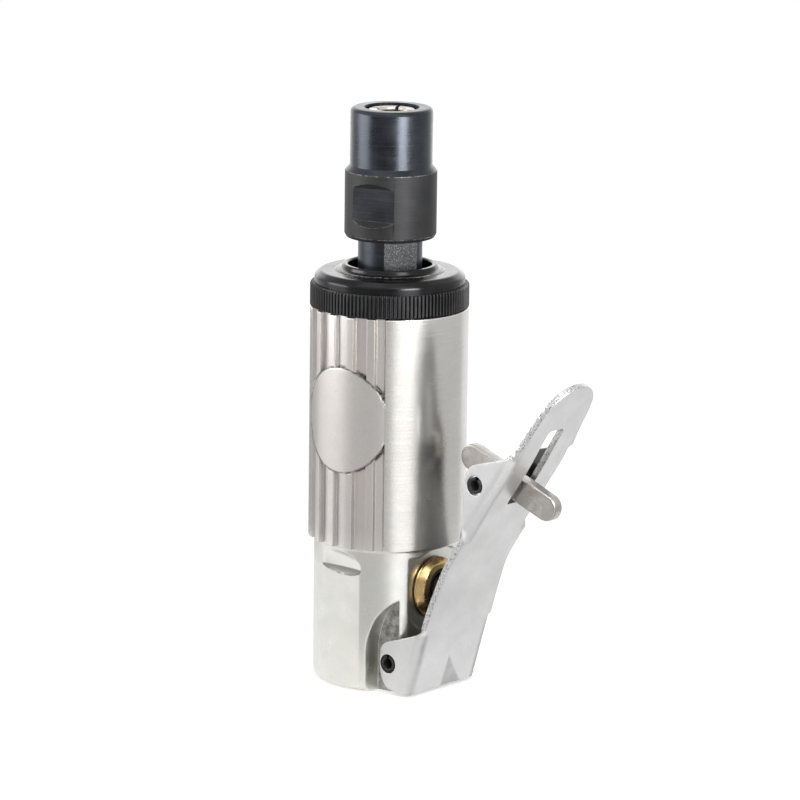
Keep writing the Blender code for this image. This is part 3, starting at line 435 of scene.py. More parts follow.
class Finish:
    """One procedural finish, on the object's own coordinates in mm about the axis.
    Its edges are shaded as if rounded by soft mm."""

    def __init__(self, name, base, metallic, roughness, soft=0.15, **sockets):
        self.material = bpy.data.materials.new(name)
        self.material.use_nodes = True
        self.material.diffuse_color = (*base, 1)
        self.tree = self.material.node_tree
        self.shader = self.tree.nodes["Principled BSDF"]
        self.shader.inputs["Metallic"].default_value = metallic
        self.shader.inputs["Roughness"].default_value = roughness
        for socket, value in sockets.items():
            self.shader.inputs[socket.replace("_", " ")].default_value = value
        at = self.node("TexCoord").outputs["Object"]
        self.at = self.node("Mapping", {
            "Vector": at, "Location": (-AXIS_X / MM, 0, 0), "Scale": (1 / MM,) * 3,
        }).outputs["Vector"]
        self.rounded = self.node("Bevel", {"Radius": soft * MM}, samples=6).outputs["Normal"]
        self.base = (*base, 1)
        self.rough = roughness
        self.bumps = []

    def node(self, kind, values=None, **settings):
        return add_node(self.tree, kind, values, **settings)

    def noise(self, size, detail=3.0, stretch=(1, 1, 1), rough=0.55, turn=(0, 0, 0)):
        """Noise whose features are about size mm, drawn out by stretch."""
        at = self.node("Mapping", {
            "Vector": self.at, "Scale": [1 / s for s in stretch], "Rotation": turn,
        }).outputs["Vector"]
        return self.node("TexNoise", {
            "Vector": at, "Scale": 1 / size, "Detail": detail, "Roughness": rough,
        }).outputs["Fac"]

    def ranged(self, value, low, high, to_low=0.0, to_high=1.0):
        """Goes from 0 to 1, or between two other numbers, as the value goes from low to high."""
        return self.node("MapRange", {
            "Value": value, "From Min": low, "From Max": high, "To Min": to_low, "To Max": to_high,
        }).outputs["Result"]

    def maths(self, operation, a, b=0.0):
        return self.node("Math", {0: a, 1: b}, operation=operation).outputs[0]

    def tint(self, amount, towards, strength=1.0):
        """Colours the surface where amount is high."""
        if strength != 1.0:
            amount = self.maths("MULTIPLY", amount, strength)
        # a Mix node's colours go in at sockets 6 and 7 and come out at 2
        colours = {"Factor": amount, 6: self.base, 7: (*towards, 1)}
        self.base = self.node("Mix", colours, data_type="RGBA").outputs[2]

    def coarsen(self, amount, by):
        """Roughens the surface by up to that much where amount is high."""
        self.rough = self.maths("ADD", self.maths("MULTIPLY", amount, by), self.rough)

    def relief(self, height, depth, strength=1.0):
        """Stands the surface out by up to depth mm where height is high."""
        self.bumps.append((height, depth, strength))

    def edge(self, start=0.985, full=0.9):
        """High on the edges, where handling wears a finish."""
        face = self.node("NewGeometry").outputs["Normal"]
        turn = self.node("VectorMath", {0: self.rounded, 1: face}, operation="DOT_PRODUCT").outputs["Value"]
        return self.ranged(turn, start, full)

    def along(self, axis):
        """The place along X, Y or Z, in mm."""
        return self.node("SeparateXYZ", {0: self.at}).outputs[axis]

    def distance(self, a, b):
        """How far off a place is that lies a one way and b the other."""
        squares = [self.maths("POWER", off, 2.0) for off in (a, b)]
        return self.maths("SQRT", self.maths("ADD", *squares))

    def outward(self):
        """The distance from the tool's own axis, in mm."""
        return self.distance(self.along("X"), self.along("Y"))

    def near(self, value, centre, reach):
        """High where the value is within reach of the centre."""
        off = self.maths("ABSOLUTE", self.maths("SUBTRACT", value, centre))
        return self.ranged(off, reach, 0.0)

    def done(self):
        """Joins the colour, the roughness and the relief to the shader."""
        normal = self.rounded
        for height, depth, strength in self.bumps:
            values = {"Height": height, "Distance": depth * MM, "Strength": strength, "Normal": normal}
            normal = self.node("Bump", values).outputs["Normal"]
        rough = self.node("Clamp", {"Value": self.rough, "Min": 0.05, "Max": 1.0}).outputs["Result"]
        for socket, value in (("Base Color", self.base), ("Roughness", rough), ("Normal", normal)):
            plug(self.tree, value, self.shader.inputs[socket])
        return self.material


def toned(base, by):
    """A darker shade of a colour, or a paler one where by is more than 1."""
    return tuple(v * by for v in base)


def tinged(base, red, green, blue):
    return (base[0] * red, base[1] * green, base[2] * blue)


def polished_aluminium(base):
    """Turned and buffed: fine rings round the body, faint clouds and a few nicks."""
    f = Finish("polished_aluminium", base, metallic=1.0, roughness=0.2, soft=0.3)
    rings = f.noise(0.2, detail=2.0, stretch=(50, 50, 1))
    broad = f.noise(0.8, detail=2.0, stretch=(30, 30, 1))
    cloud = f.noise(7.0, detail=4.0)
    grain = f.noise(0.45, detail=4.0, rough=0.7)
    nick = f.ranged(f.noise(0.6, detail=2.0), 0.73, 0.78)
    f.tint(f.ranged(cloud, 0.35, 0.7), toned(base, 0.86), 0.7)
    f.tint(f.ranged(rings, 0.35, 0.65), toned(base, 0.8), 0.55)
    f.tint(f.ranged(grain, 0.42, 0.7), tinged(base, 0.86, 0.8, 0.74), 0.6)
    f.tint(nick, toned(base, 0.4), 0.5)
    f.coarsen(f.ranged(cloud, 0.3, 0.7), 0.07)
    f.coarsen(f.ranged(grain, 0.35, 0.7), 0.03)
    f.relief(rings, 0.006)
    f.relief(broad, 0.01)
    f.relief(grain, 0.008)
    return f.done()


def cast_aluminium(name, base, rough=0.3, spot=0.6, soft=0.4, ring=0.0):
    """Tumbled casting: fine grain, soft clouds and small dark pores, and where ring
    gives a radius, a dark line round each pad."""
    f = Finish(name, base, metallic=1.0, roughness=rough, soft=soft)
    grain = f.noise(0.3, detail=4.0, rough=0.65)
    cloud = f.noise(4.5, detail=4.0)
    wide = f.noise(16.0, detail=2.0)
    pore = f.ranged(f.noise(0.55, detail=3.0, rough=0.7), 0.64, 0.76)
    f.tint(f.ranged(cloud, 0.35, 0.68), toned(base, 0.84), 0.55)
    f.tint(f.ranged(wide, 0.4, 0.65), tinged(base, 1.04, 1.0, 0.95), 0.5)
    f.tint(f.ranged(grain, 0.45, 0.65), toned(base, 0.85), 0.5)
    f.tint(pore, toned(base, 0.45), spot)
    if ring:
        height, turn = f.along("Z"), math.radians(PAD_ANGLE)
        f.tint(f.ranged(height, 40.0, 35.0), toned(base, 1.1))
        either_side = f.maths("MULTIPLY", f.maths("ABSOLUTE", f.along("Y")), math.cos(turn))
        aside = f.maths("SUBTRACT", either_side, f.maths("MULTIPLY", f.along("X"), math.sin(turn)))
        off = f.distance(f.maths("MULTIPLY", aside, PAD_SQUEEZE), f.maths("SUBTRACT", height, PAD_Z))
        broken = f.ranged(f.noise(1.3, detail=3.0), 0.36, 0.52, 0.35, 1.0)
        line = f.maths("MULTIPLY", f.near(off, ring + 0.02, 0.45), broken)
        f.tint(line, (0.045, 0.045, 0.035), 0.95)
        f.relief(line, -0.1)
    f.coarsen(f.ranged(cloud, 0.3, 0.7), 0.1)
    f.coarsen(pore, 0.2)
    f.relief(grain, 0.022)
    f.relief(cloud, 0.1, 0.5)
    return f.done()


def gouged_aluminium(base):
    """Where the cutter ran out: clean above, and a dark band on the ledge, wider
    towards the lever, that is painted shade with a little dirt."""
    f = Finish("gouged_aluminium", base, metallic=1.0, roughness=0.3, soft=0.5)
    height = f.along("Z")
    waver = f.ranged(f.noise(0.8, detail=4.0, stretch=(2.5, 2.5, 1)), 0.3, 0.7, -0.35, 0.35)
    ragged = f.maths("ADD", height, waver)
    slanted = f.maths("ADD", ragged, f.maths("MULTIPLY", f.along("X"), 0.13))
    # the dark band on the ledge is painted shade, with a little dirt
    ledge_shade_and_dirt = f.maths("MULTIPLY", f.ranged(height, 30.2, 29.9), f.ranged(slanted, 28.1, 28.5))
    f.tint(ledge_shade_and_dirt, (0.17, 0.17, 0.165), 0.9)
    f.coarsen(ledge_shade_and_dirt, 0.2)
    f.relief(f.noise(0.3, detail=3.0), 0.02)
    return f.done()


def dark_pocket(base):
    """Milled pocket that kept its cutting marks, darker than the body, with greenish dark patches that are
    stronger towards its top.
    """
    f = Finish("milled_pocket", toned(base, 0.62), metallic=1.0, roughness=0.4, soft=0.3)
    marks = f.noise(0.5, detail=2.0, stretch=(6, 6, 1), turn=(0, 0.4, 0))
    dark_patches = f.ranged(f.noise(2.6, detail=5.0, rough=0.7), 0.40, 0.60)
    higher = f.ranged(f.along("Z"), 6.0, 14.0, 0.35, 1.0)
    # greenish dark patches, stronger towards the top of the pocket
    f.tint(f.maths("MULTIPLY", dark_patches, higher), (0.16, 0.16, 0.125), 0.8)
    f.tint(f.ranged(f.noise(0.45, detail=3.0), 0.58, 0.7), (0.07, 0.07, 0.055), 0.7)
    f.coarsen(dark_patches, 0.25)
    f.relief(marks, 0.02)
    f.relief(f.noise(0.35, detail=3.0), 0.03)
    return f.done()


def black_oxide(name, base, rough=0.3, rings=0.3, wear=0.5, dust=0.2, lines=(50, 50, 1),
                worn_at=(), dusty_at=(), grit=0.66):
    """Blackened steel: turning rings, faint dust, bare metal on worn edges and at the
    given heights, and dust lying in rings of the given radii. The lower the grit, the
    more specks of dust."""
    f = Finish(name, base, metallic=0.85, roughness=rough, soft=0.16, Specular_IOR_Level=0.6)
    bare_steel = (0.42, 0.40, 0.37)
    turned_lines = f.noise(0.22, detail=2.0, stretch=lines)
    cloud = f.noise(5.0, detail=4.0)
    specks = f.ranged(f.noise(0.25, detail=2.0, rough=0.8), grit, grit + 0.07)
    f.tint(f.ranged(cloud, 0.35, 0.7), tuple(v * 1.7 + 0.006 for v in base), 0.6)
    f.tint(f.ranged(turned_lines, 0.45, 0.75), tuple(v * 2.2 + 0.006 for v in base), rings)
    f.tint(specks, (0.35, 0.33, 0.31), dust)
    patchy = f.ranged(f.noise(1.4, detail=5.0, rough=0.7), 0.42, 0.6)
    f.tint(f.maths("MULTIPLY", f.edge(), patchy), bare_steel, wear)
    for height in worn_at:
        f.tint(f.maths("MULTIPLY", f.near(f.along("Z"), height, 0.2), patchy), bare_steel, 0.55)
    for r in dusty_at:
        settled = f.maths("MULTIPLY", f.near(f.outward(), r, 0.3), f.ranged(f.noise(0.3, detail=3.0), 0.4, 0.6))
        f.tint(settled, (0.5, 0.48, 0.44), 0.8)
        f.coarsen(settled, 0.3)
    f.coarsen(f.ranged(cloud, 0.3, 0.7), 0.1)
    f.coarsen(f.ranged(turned_lines, 0.4, 0.7), 0.05)
    f.relief(turned_lines, 0.006)
    f.relief(f.noise(0.3, detail=3.0), 0.008)
    return f.done()


def plated_sheet(name, base, rough=0.4):
    """Bright zinc on rolled sheet: frosty, with shallow waves and small stains, painted
    shade in the crease at the foot and along the foot's folds, and rougher along the ears' folds."""
    f = Finish(name, base, metallic=1.0, roughness=rough, soft=0.2)
    height, aside = f.along("Z"), f.maths("ABSOLUTE", f.along("Y"))
    # painted shade: a dark wedge along the crease at the foot
    middle = f.maths("SUBTRACT", CREASE_MIDDLE, f.maths("MULTIPLY", height, CREASE_LEAN))
    off = f.maths("ABSOLUTE", f.maths("SUBTRACT", f.along("Y"), middle))
    wide = f.ranged(height, 0.0, CREASE_TOP, CREASE_HALF, 0.0)
    f.tint(f.ranged(f.maths("SUBTRACT", wide, off), -0.1, 0.6), toned(base, 0.5), 0.9)
    # painted shade along the folds at the foot
    foot_fold_shade = f.maths("MULTIPLY", f.near(aside, FOOT_HALF - 1.5, 1.5), f.ranged(height, 16.2, 15.6))
    f.tint(foot_fold_shade, toned(base, 0.36), 0.85)
    ear_folds = f.maths("MULTIPLY", f.near(aside, EAR_HALF - 1.0, 1.8), f.ranged(height, 39.0, 41.0))
    f.coarsen(ear_folds, 0.35)
    speck = f.noise(0.35, detail=4.0, rough=0.7)
    f.tint(f.ranged(speck, 0.5, 0.68), toned(base, 0.72), 0.55)
    f.relief(speck, 0.012)
    frost = f.noise(0.16, detail=3.0)
    wave = f.noise(7.0, detail=2.0)
    stain = f.ranged(f.noise(0.9, detail=4.0, rough=0.7), 0.64, 0.76)
    f.tint(f.ranged(wave, 0.35, 0.65), toned(base, 0.9), 0.6)
    f.tint(stain, toned(base, 0.5), 0.3)
    f.coarsen(f.ranged(wave, 0.3, 0.7), 0.1)
    f.relief(frost, 0.006)
    f.relief(f.noise(1.4, detail=2.0), 0.012)
    f.relief(wave, 0.16, 0.6)
    return f.done()


def sheared_edge(base):
    """The cut edge of the sheet: a bright band and a torn, pitted one."""
    f = Finish("sheared_edge", base, metallic=1.0, roughness=0.32)
    torn = f.noise(0.32, detail=3.0, stretch=(1, 1, 1.6), rough=0.75)
    f.tint(f.ranged(torn, 0.52, 0.58), toned(base, 0.22), 0.8)
    f.coarsen(f.ranged(torn, 0.45, 0.6), 0.2)
    f.relief(torn, 0.04)
    return f.done()


def nickel_bar(base):
    """Worn nickel: lengthwise lines, stains, and bright rubbed edges."""
    f = Finish("nickel_bar", base, metallic=1.0, roughness=0.24, soft=0.3)
    lines = f.noise(0.25, detail=3.0, stretch=(5, 1, 5), turn=(0, math.radians(BAR_TURN), 0))
    cloud = f.noise(2.5, detail=4.0)
    f.tint(f.ranged(cloud, 0.4, 0.66), toned(base, 0.72), 0.6)
    f.tint(f.ranged(f.noise(0.3, detail=3.0), 0.66, 0.74), toned(base, 0.4), 0.6)
    f.tint(f.edge(), (0.72, 0.68, 0.64), 0.6)
    f.coarsen(f.ranged(cloud, 0.35, 0.65), 0.12)
    f.relief(lines, 0.008)
    return f.done()


def turned_brass(base):
    """Brass with brown tarnish in soft patches."""
    f = Finish("turned_brass", base, metallic=1.0, roughness=0.2)
    tarnish = f.ranged(f.noise(2.4, detail=4.0), 0.42, 0.64)
    lines = f.noise(0.2, detail=2.0, stretch=(1, 40, 40))
    f.tint(tarnish, (0.30, 0.20, 0.10), 0.6)
    f.tint(f.ranged(f.noise(0.4, detail=3.0), 0.62, 0.72), (0.12, 0.08, 0.04), 0.6)
    f.coarsen(tarnish, 0.16)
    f.relief(lines, 0.006)
    return f.done()


def steel(name, base, rough, lines=(30, 30, 1), stain=0.35):
    """Plain machined steel for the pieces inside and the small fittings."""
    f = Finish(name, base, metallic=1.0, roughness=rough)
    cut = f.noise(0.2, detail=2.0, stretch=lines)
    cloud = f.noise(3.0, detail=4.0)
    f.tint(f.ranged(cloud, 0.4, 0.66), toned(base, 0.72), stain)
    f.tint(f.ranged(cut, 0.4, 0.7), toned(base, 0.85), 0.4)
    f.coarsen(f.ranged(cloud, 0.35, 0.65), 0.1)
    f.relief(cut, 0.006)
    return f.done()


def fibrous(name, base, size, rough, depth=0.05):
    """Felt, moulded rubber or laid-up board, by the size of its fibres."""
    f = Finish(name, base, metallic=0.0, roughness=rough)
    strands = f.noise(size, detail=5.0, stretch=(1, 1, 0.6), rough=0.7)
    f.tint(f.ranged(strands, 0.35, 0.65), toned(base, 0.6), 0.8)
    f.tint(f.ranged(f.noise(size * 6, detail=3.0), 0.4, 0.65), toned(base, 1.2), 0.5)
    f.coarsen(f.ranged(strands, 0.3, 0.7), 0.08)
    f.relief(strands, depth)
    return f.done()


# ---- housing -------------------------------------------------------------------

PANEL = (51.7, 124.0)  # from where to where the ribs stand, in degrees from the lever
RIBS = (62.6, 79.0, 95.3, 111.6)
PAD_ANGLE, PAD_Z = 87.0, 66.4
PAD_SQUEEZE = 13.0 / 19.0 / math.sin(13.0 / 19.0)  # the pad is as wide as tall on the curved wall
FLAT_Y, FLAT_TOP = 16.55, 29.8  # the two spanner flats
GOUGE_Z = 30.6  # the middle of the hollow that the cutter left above each of them
LEVER_FLAT, LEVER_FLAT_TOP = 14.9, 33.0  # the flat under the lever
POCKET_Y = 11.0  # the two faces that the foot's ears lie on
VALVE_Z = 24.6
LEVER_PIVOT, LOCK_PIVOT = (11.8, 7.4), (36.6, 55.0)  # X and Z of the two rolled pins
PIN_HOLE = 2.3
SCREWS = around(11.6, (114, 246))
OUTSIDE, BELOW = 24, -1  # where the cutters end, clear of the housing


def panel_cutters(side, s, big, step, top):
    """What is cut from one side: the grooves between the ribs, stopped round the pad,
    the ribs' ends, and the rounded corners of the wide part."""
    floor, outside, foot = s.panel_radius / MM, big + 3, step - 0.6
    crown, flank, corner_r = s.rib_width / MM / 2 - 0.35, 0.45, 2.6
    angles = np.arange(PANEL[0], PANEL[1] + 0.01, 0.25)
    inner = []
    for a in angles:
        off = min(abs(a - rib) for rib in RIBS)
        rise = np.interp(math.radians(off) * big, (crown, crown + flank), (1, 0))
        wall = np.interp(math.radians(min(a - PANEL[0], PANEL[1] - a)) * big, (0, 0.3), (1, 0))
        rise = max(rise * rise * (3 - 2 * rise), wall)
        inner += around(floor + (big - floor) * rise, [side * a])
    outer = around(outside, side * angles[::-12])
    grooves = solid(prism(inner + outer, foot, top + 1, "Z"))
    pad = radial_rod(s.pad_radius / MM, 10, 30, side * PAD_ANGLE, PAD_Z, 1 / PAD_SQUEEZE)
    carve(grooves, pad)
    ends = solid(ring_part(floor, outside, foot, step + 0.4, side * PANEL[0], side * PANEL[1]))
    corners = []
    reach = math.degrees(corner_r / big)
    for edge, way in ((PANEL[0], -1), (PANEL[1], 1)):
        start, end = side * (edge - way * 0.2), side * (edge + way * reach)
        corner = solid(ring_part(floor, outside, foot, step + corner_r, start, end, 6))
        corners.append(carve(corner, radial_rod(corner_r, 10, 30, end, step + corner_r)))
    return [grooves, ends] + corners


def gouge(side):
    """The hollow above a spanner flat, sunk 0.65 mm deeper than the flat."""
    work = bmesh.new()
    bmesh.ops.create_uvsphere(
        work, u_segments=64, v_segments=32, radius=1.0,
        matrix=Matrix.Translation((-0.2, side * (FLAT_Y + 3.65), GOUGE_Z))
        @ Matrix.Rotation(math.radians(4), 4, "Y") @ Matrix.Diagonal((13.0, 4.3, 4.6, 1)),
    )
    return work


def make_housing(s):
    big, rear, step, top = (v / MM for v in (s.body_radius, s.rear_radius, s.step_height, s.top_height))
    body = solid(turned([
        (0, 40.0), (16.0, 40.0), (16.0, top), (big, top, 0.3), (big, step, 0.7),
        (rear, step, 0.3), (rear, 0.0, 2.6), (9.0, 0.0, 0.4), (8.6, 0.6), (8.6, 14.0), (0, 14.0),
    ], 240))
    for side in (1, -1):
        for cutter in panel_cutters(side, s, big, step, top):
            carve(body, cutter)
        carve(body, block(-12, 12, *sorted((side * FLAT_Y, side * OUTSIDE)), BELOW, FLAT_TOP))
        carve(body, gouge(side))
    carve(body, block(LEVER_FLAT, OUTSIDE, -12, 12, BELOW, LEVER_FLAT_TOP))
    carve(body, rod(10.6, LEVER_FLAT - 0.05, OUTSIDE, 96, "X", (0, 0, VALVE_Z)))
    pocket = flowing([
        (7.3, BELOW), (7.3, 5.0), (7.3, 10.7), (7.6, 13.2), (8.35, 15.7), (9.1, 17.8), (10.2, 19.6),
        (11.7, 21.4), (13.35, 22.7), (15.5, 23.6), (OUTSIDE, 24.0),
    ], 4) + [(OUTSIDE, BELOW)]
    for side in (1, -1):
        carve(body, prism(pocket, *sorted((side * POCKET_Y, side * OUTSIDE))))
    carve(body, rod(PIN_HOLE, -20, 20, 48, "Y", (LEVER_PIVOT[0], 0, LEVER_PIVOT[1])))
    # the valve's cross bore, in three steps
    for r, a0, a1 in ((6.3, -1.0, 20), (4.0, -4.5, 0.0), (5.8, -11.0, -4.0)):
        carve(body, rod(r, a0, a1, 48, "X", (0, 0, VALVE_Z)))
    # the air's way from the inlet to the valve, and from there up to the motor
    carve(body, rod(2.5, 13.0, VALVE_Z, 32, "Z", (-7.3, 0, 0)))
    feed = rod(2.2, 0, 20.5, 32)
    lean = Matrix.Rotation(math.radians(30), 4, "Y")
    bmesh.ops.transform(feed, matrix=Matrix.Translation((3.2, 0, 24.8)) @ lean, verts=feed.verts)
    carve(body, feed)
    # the exhaust's way down beside the motor, and out through the grille at the rear
    carve(body, ring_part(14.5, 17.3, 38.5, 75.0, 126, 234, 36))
    ways_out = around(13.2, (126, 143, 217, 234))
    carve(body, gathered([rod(1.5, 4.0, 41.0, 24, "Z", (x, y, 0)) for x, y in ways_out]))
    carve(body, ring_part(9.3, 13.9, BELOW, 2.1, 103, 257, 48))
    carve(body, ring_part(9.35, 13.85, 1.5, 5.6, 122, 238, 36))
    carve(body, gathered([rod(1.2, 1.0, 6.6, 24, "Z", (x, y, 0)) for x, y in SCREWS]))

    polished, cast, satin, pocket_wall, gouged, shaded_rib_wall = range(6)

    def zone(at, normal):
        r, a = math.hypot(at.x, at.y), abs(math.degrees(math.atan2(at.y, at.x)))
        bore = 16.2 if at.z > 40.5 else 15.8
        by_the_ears = abs(at.y) > 10.5 and at.x > 7
        if r < bore and at.z > 2.2 and not by_the_ears and abs(normal.y) < 0.999:
            return pocket_wall if at.x < LEVER_FLAT - 0.4 or r < 12 else satin
        if abs(abs(at.y) - POCKET_Y) < 0.05 and at.x > 7 and at.z < 24:
            return pocket_wall
        if 26.5 < at.z < step - 0.1 and abs(at.y) > 12 and r < rear - 0.03 and abs(normal.y) < 0.9995:
            return gouged
        if at.z < step + 0.1:
            return satin
        if PANEL[0] < a < PANEL[1]:
            steep = abs(normal.x * at.x + normal.y * at.y) < 0.8 * r and abs(normal.z) < 0.5
            return shaded_rib_wall if steep and PANEL[0] + 2 < a < PANEL[1] - 2 else cast
        return polished if r > big - 0.8 else cast

    finished(body, "housing_shell", "body", ["housing"], [
        polished_aluminium(s.polished),
        cast_aluminium("cast_aluminium", s.cast, soft=0.22, ring=s.pad_radius / MM),
        cast_aluminium("satin_aluminium", s.rear, rough=0.27, spot=0.35, soft=0.8),
        dark_pocket(s.rear),
        gouged_aluminium(s.rear),
        # the ribs' steep walls: a darker copy of the cast finish, painted shade beside each rib
        cast_aluminium("shaded_rib_wall", toned(s.cast, 0.8), rough=0.4, soft=0.25),
    ], zone)


# ---- cap, nut, spindle and collet ----------------------------------------------


def knurled_ring(teeth, deep):
    """The toothed band round the cap: two loops that are raised from its foot and
    bridged to each other at the foot and at the top."""
    work = bmesh.new()
    count = teeth * 4
    outer = bmesh.ops.create_circle(work, segments=count, radius=KNURL_R)["verts"]
    for i, vert in enumerate(outer):
        vert.co *= 1 - (deep, 0.0, 0.0, deep)[i % 4] / KNURL_R
    inner = bmesh.ops.create_circle(work, segments=count, radius=17.6)["verts"]
    for ring in (outer, inner):
        bmesh.ops.translate(work, vec=(0, 0, 91.8), verts=ring)
    feet, tops = [], []
    for ring, rises in ((outer, ((5.0, 1.0), (0.4, 0.985))), (inner, ((5.4, 1.0),))):
        edges = list({e for v in ring for e in v.link_edges})
        feet += edges
        for up, shrink in rises:
            out = bmesh.ops.extrude_edge_only(work, edges=edges)["geom"]
            verts, edges = verts_in(out), [g for g in out if isinstance(g, bmesh.types.BMEdge)]
            bmesh.ops.translate(work, vec=(0, 0, up), verts=verts)
            bmesh.ops.scale(work, vec=(shrink, shrink, 1), verts=verts)
        tops += edges
    for loops in (feet, tops):
        bmesh.ops.bridge_loops(work, edges=loops)
    bmesh.ops.recalc_face_normals(work, faces=work.faces)
    return work


def make_cap(s):
    low, high = CAP_LOW.z / MM, CAP_HIGH.z / MM
    top = high - 1.6
    cap = turned([
        (10.05, 97.0), (10.05, high, 0.5), (11.3, high, 0.45), (11.6, top + 0.5, 0.25), (12.6, top + 0.35, 0.3),
        (13.2, top, 0.5), (16.6, top, 1.2), (18.05, top - 1.2, 1.2), (18.05, 92.3), (15.7, 92.1),
        (15.7, low), (12.4, low), (12.4, 97.0),
    ], 200)
    coat = black_oxide(
        "cap_black", (0.014, 0.014, 0.015), rough=0.13, rings=0.2, wear=0.15, dust=0.1, dusty_at=(12.75,),
    )
    finished(solid(cap), "cap_body", "body", ["clamp_cap"], [coat])
    matt = black_oxide("knurl_black", (0.034, 0.034, 0.035), rough=0.34, rings=0.1, wear=0.0, dust=0.05)
    knurl = solid(knurled_ring(s.knurl_teeth, s.tooth_depth / MM))
    finished(knurl, "cap_knurl", "body", ["clamp_cap"], [matt], smooth=20)


def make_nut(s):
    wide, slim = s.nut_radius / MM, s.nut_top_radius / MM
    base, shoulder, flat, angle = 108.3, 124.3, 9.6, -74.6
    nut = solid(turned([
        (8.0, base + 0.3, 0.2), (8.5, base), (wide - 0.5, base, 0.4), (wide, base + 0.9, 0.6),
        (wide, shoulder, 0.25), (slim, shoulder + 1.3, 0.5), (slim, NUT_TOP, 1.2), (6.5, NUT_TOP, 0.25),
        (6.3, NUT_TOP - 0.6), (6.3, 134.2), (8.0, 126.1),
    ], 160))
    mill = [(flat, 113.2), (flat + 4, 109.2), (flat + 4, 125.0), (flat, 121.0)]
    for turn in (0, 180):
        carve(nut, prism(mill, -14, 14, "Y", angle + turn))

    rim, milled, bore, nose = range(4)

    def zone(at, normal):
        r = math.hypot(at.x, at.y)
        if r < 6.6:
            return bore
        if at.z > shoulder + 0.3:
            return nose
        return milled if r < wide - 0.05 and 113.0 < at.z < 121.2 and abs(normal.z) < 0.1 else rim

    finished(nut, "nut_shell", "nut", ["collet_nut"], [
        black_oxide(
            "nut_black", (0.025, 0.025, 0.026), rough=0.5, rings=0.3, wear=0.7, dust=0.12,
            worn_at=(shoulder, 109.1),
        ),
        black_oxide("nut_flat", (0.026, 0.028, 0.033), rough=0.3, rings=0.5, wear=0.4, dust=0.06),
        black_oxide("nut_bore", toned(s.oxide, 0.7), rough=0.4, rings=0.3, wear=0.3, dust=0.1),
        black_oxide("nut_nose", s.oxide, rough=0.23, rings=0.35, wear=0.3, dust=0.08),
    ], zone)


def make_spindle(s):
    r, flat, angle = s.spindle_radius / MM, 6.45, -26.5
    flat_low, flat_high = 99.0, 108.0
    nose = solid(turned([
        (0, 97.3), (5.0, 97.3), (5.0, 87.1), (r, 87.1, 0.4), (r, 121.9, 0.4), (6.9, 121.9),
        (5.3, 110.5), (5.3, 107.8), (0, 107.8),
    ], 128))
    for turn in (0, 180):
        carve(nose, block(flat, 12, -9, 9, flat_low, flat_high, angle + turn))

    def zone(at, normal):
        on_flat = flat_low < at.z < flat_high and math.hypot(at.x, at.y) < r - 0.05 and abs(normal.z) < 0.5
        return int(on_flat)

    finished(nose, "spindle_nose", "spindle", ["collet_body"], [
        black_oxide("spindle_grey", (0.026, 0.029, 0.036), rough=0.28, rings=0.6, wear=0.9, dust=0.4),
        black_oxide(
            "spindle_flat", (0.026, 0.027, 0.03), rough=0.4, rings=0.3, wear=0.9, dust=0.55,
            lines=(1, 1, 6), grit=0.57,
        ),
    ], zone)


def make_collet(s):
    collet = solid(turned([
        (3.2, 108.2), (4.5, 108.2), (4.9, 108.6), (4.9, 110.6), (6.7, 123.6), (7.2, 125.2), (5.6, 133.6),
        (5.6, 138.9, 0.4), (3.6, 138.9, 0.3), (3.2, 138.3),
    ], 96))
    for turn in (20, 110):
        carve(collet, block(-9, 9, -0.4, 0.4, 113.5, 140, turn))
    finished(collet, "collet_jaws", "collet", ["collet"], [steel("collet_steel", s.bright, 0.24)])


# ---- rear end and valve --------------------------------------------------------


def thread_ridge():
    """The inlet's thread: a fine ridge wound down the bore."""
    work = bmesh.new()
    pitch, per_turn, turns = 1.41, 48, 6
    start = [work.verts.new((5.75, 0, 1.4)), work.verts.new((5.25, 0, 1.85)), work.verts.new((5.75, 0, 2.3))]
    face = work.faces.new(start)
    bmesh.ops.spin(
        work, geom=[face] + start + list(face.edges), cent=(0, 0, 0), axis=(0, 0, 1),
        dvec=(0, 0, pitch / per_turn), angle=FULL * turns, steps=per_turn * turns,
        use_merge=False, use_duplicate=False,
    )
    bmesh.ops.recalc_face_normals(work, faces=work.faces)
    return work


def make_inlet():
    bushing = turned([
        (5.7, 1.2, 0.2), (6.6, 0.3, 0.1), (8.0, 0.3, 0.2), (8.3, 0.7), (8.3, 13.7), (4.6, 13.7), (4.6, 12.6),
        (5.7, 12.6),
    ], 96)
    inlet = solid(gathered([bushing, thread_ridge()]))
    finished(inlet, "inlet_thread", "body", ["inlet_bushing"], [steel("inlet_steel", (0.42, 0.41, 0.39), 0.3)])
    plated = steel("screw_steel", (0.45, 0.44, 0.42), 0.28)
    for number, (x, y) in enumerate(SCREWS, 1):
        screw = solid(turned([
            (0, 0.1), (1.3, 0.1, 0.15), (1.45, 0.9), (0.9, 1.1), (0.9, 5.8), (0.5, 6.3), (0, 6.3),
        ], 40, "Z", (x, y, 0)))
        carve(screw, block(x - 2, x + 2, y - 0.2, y + 0.2, BELOW, 0.5))
        finished(screw, f"screw_{number}", "body", [f"grille_screw_{number}"], [plated])


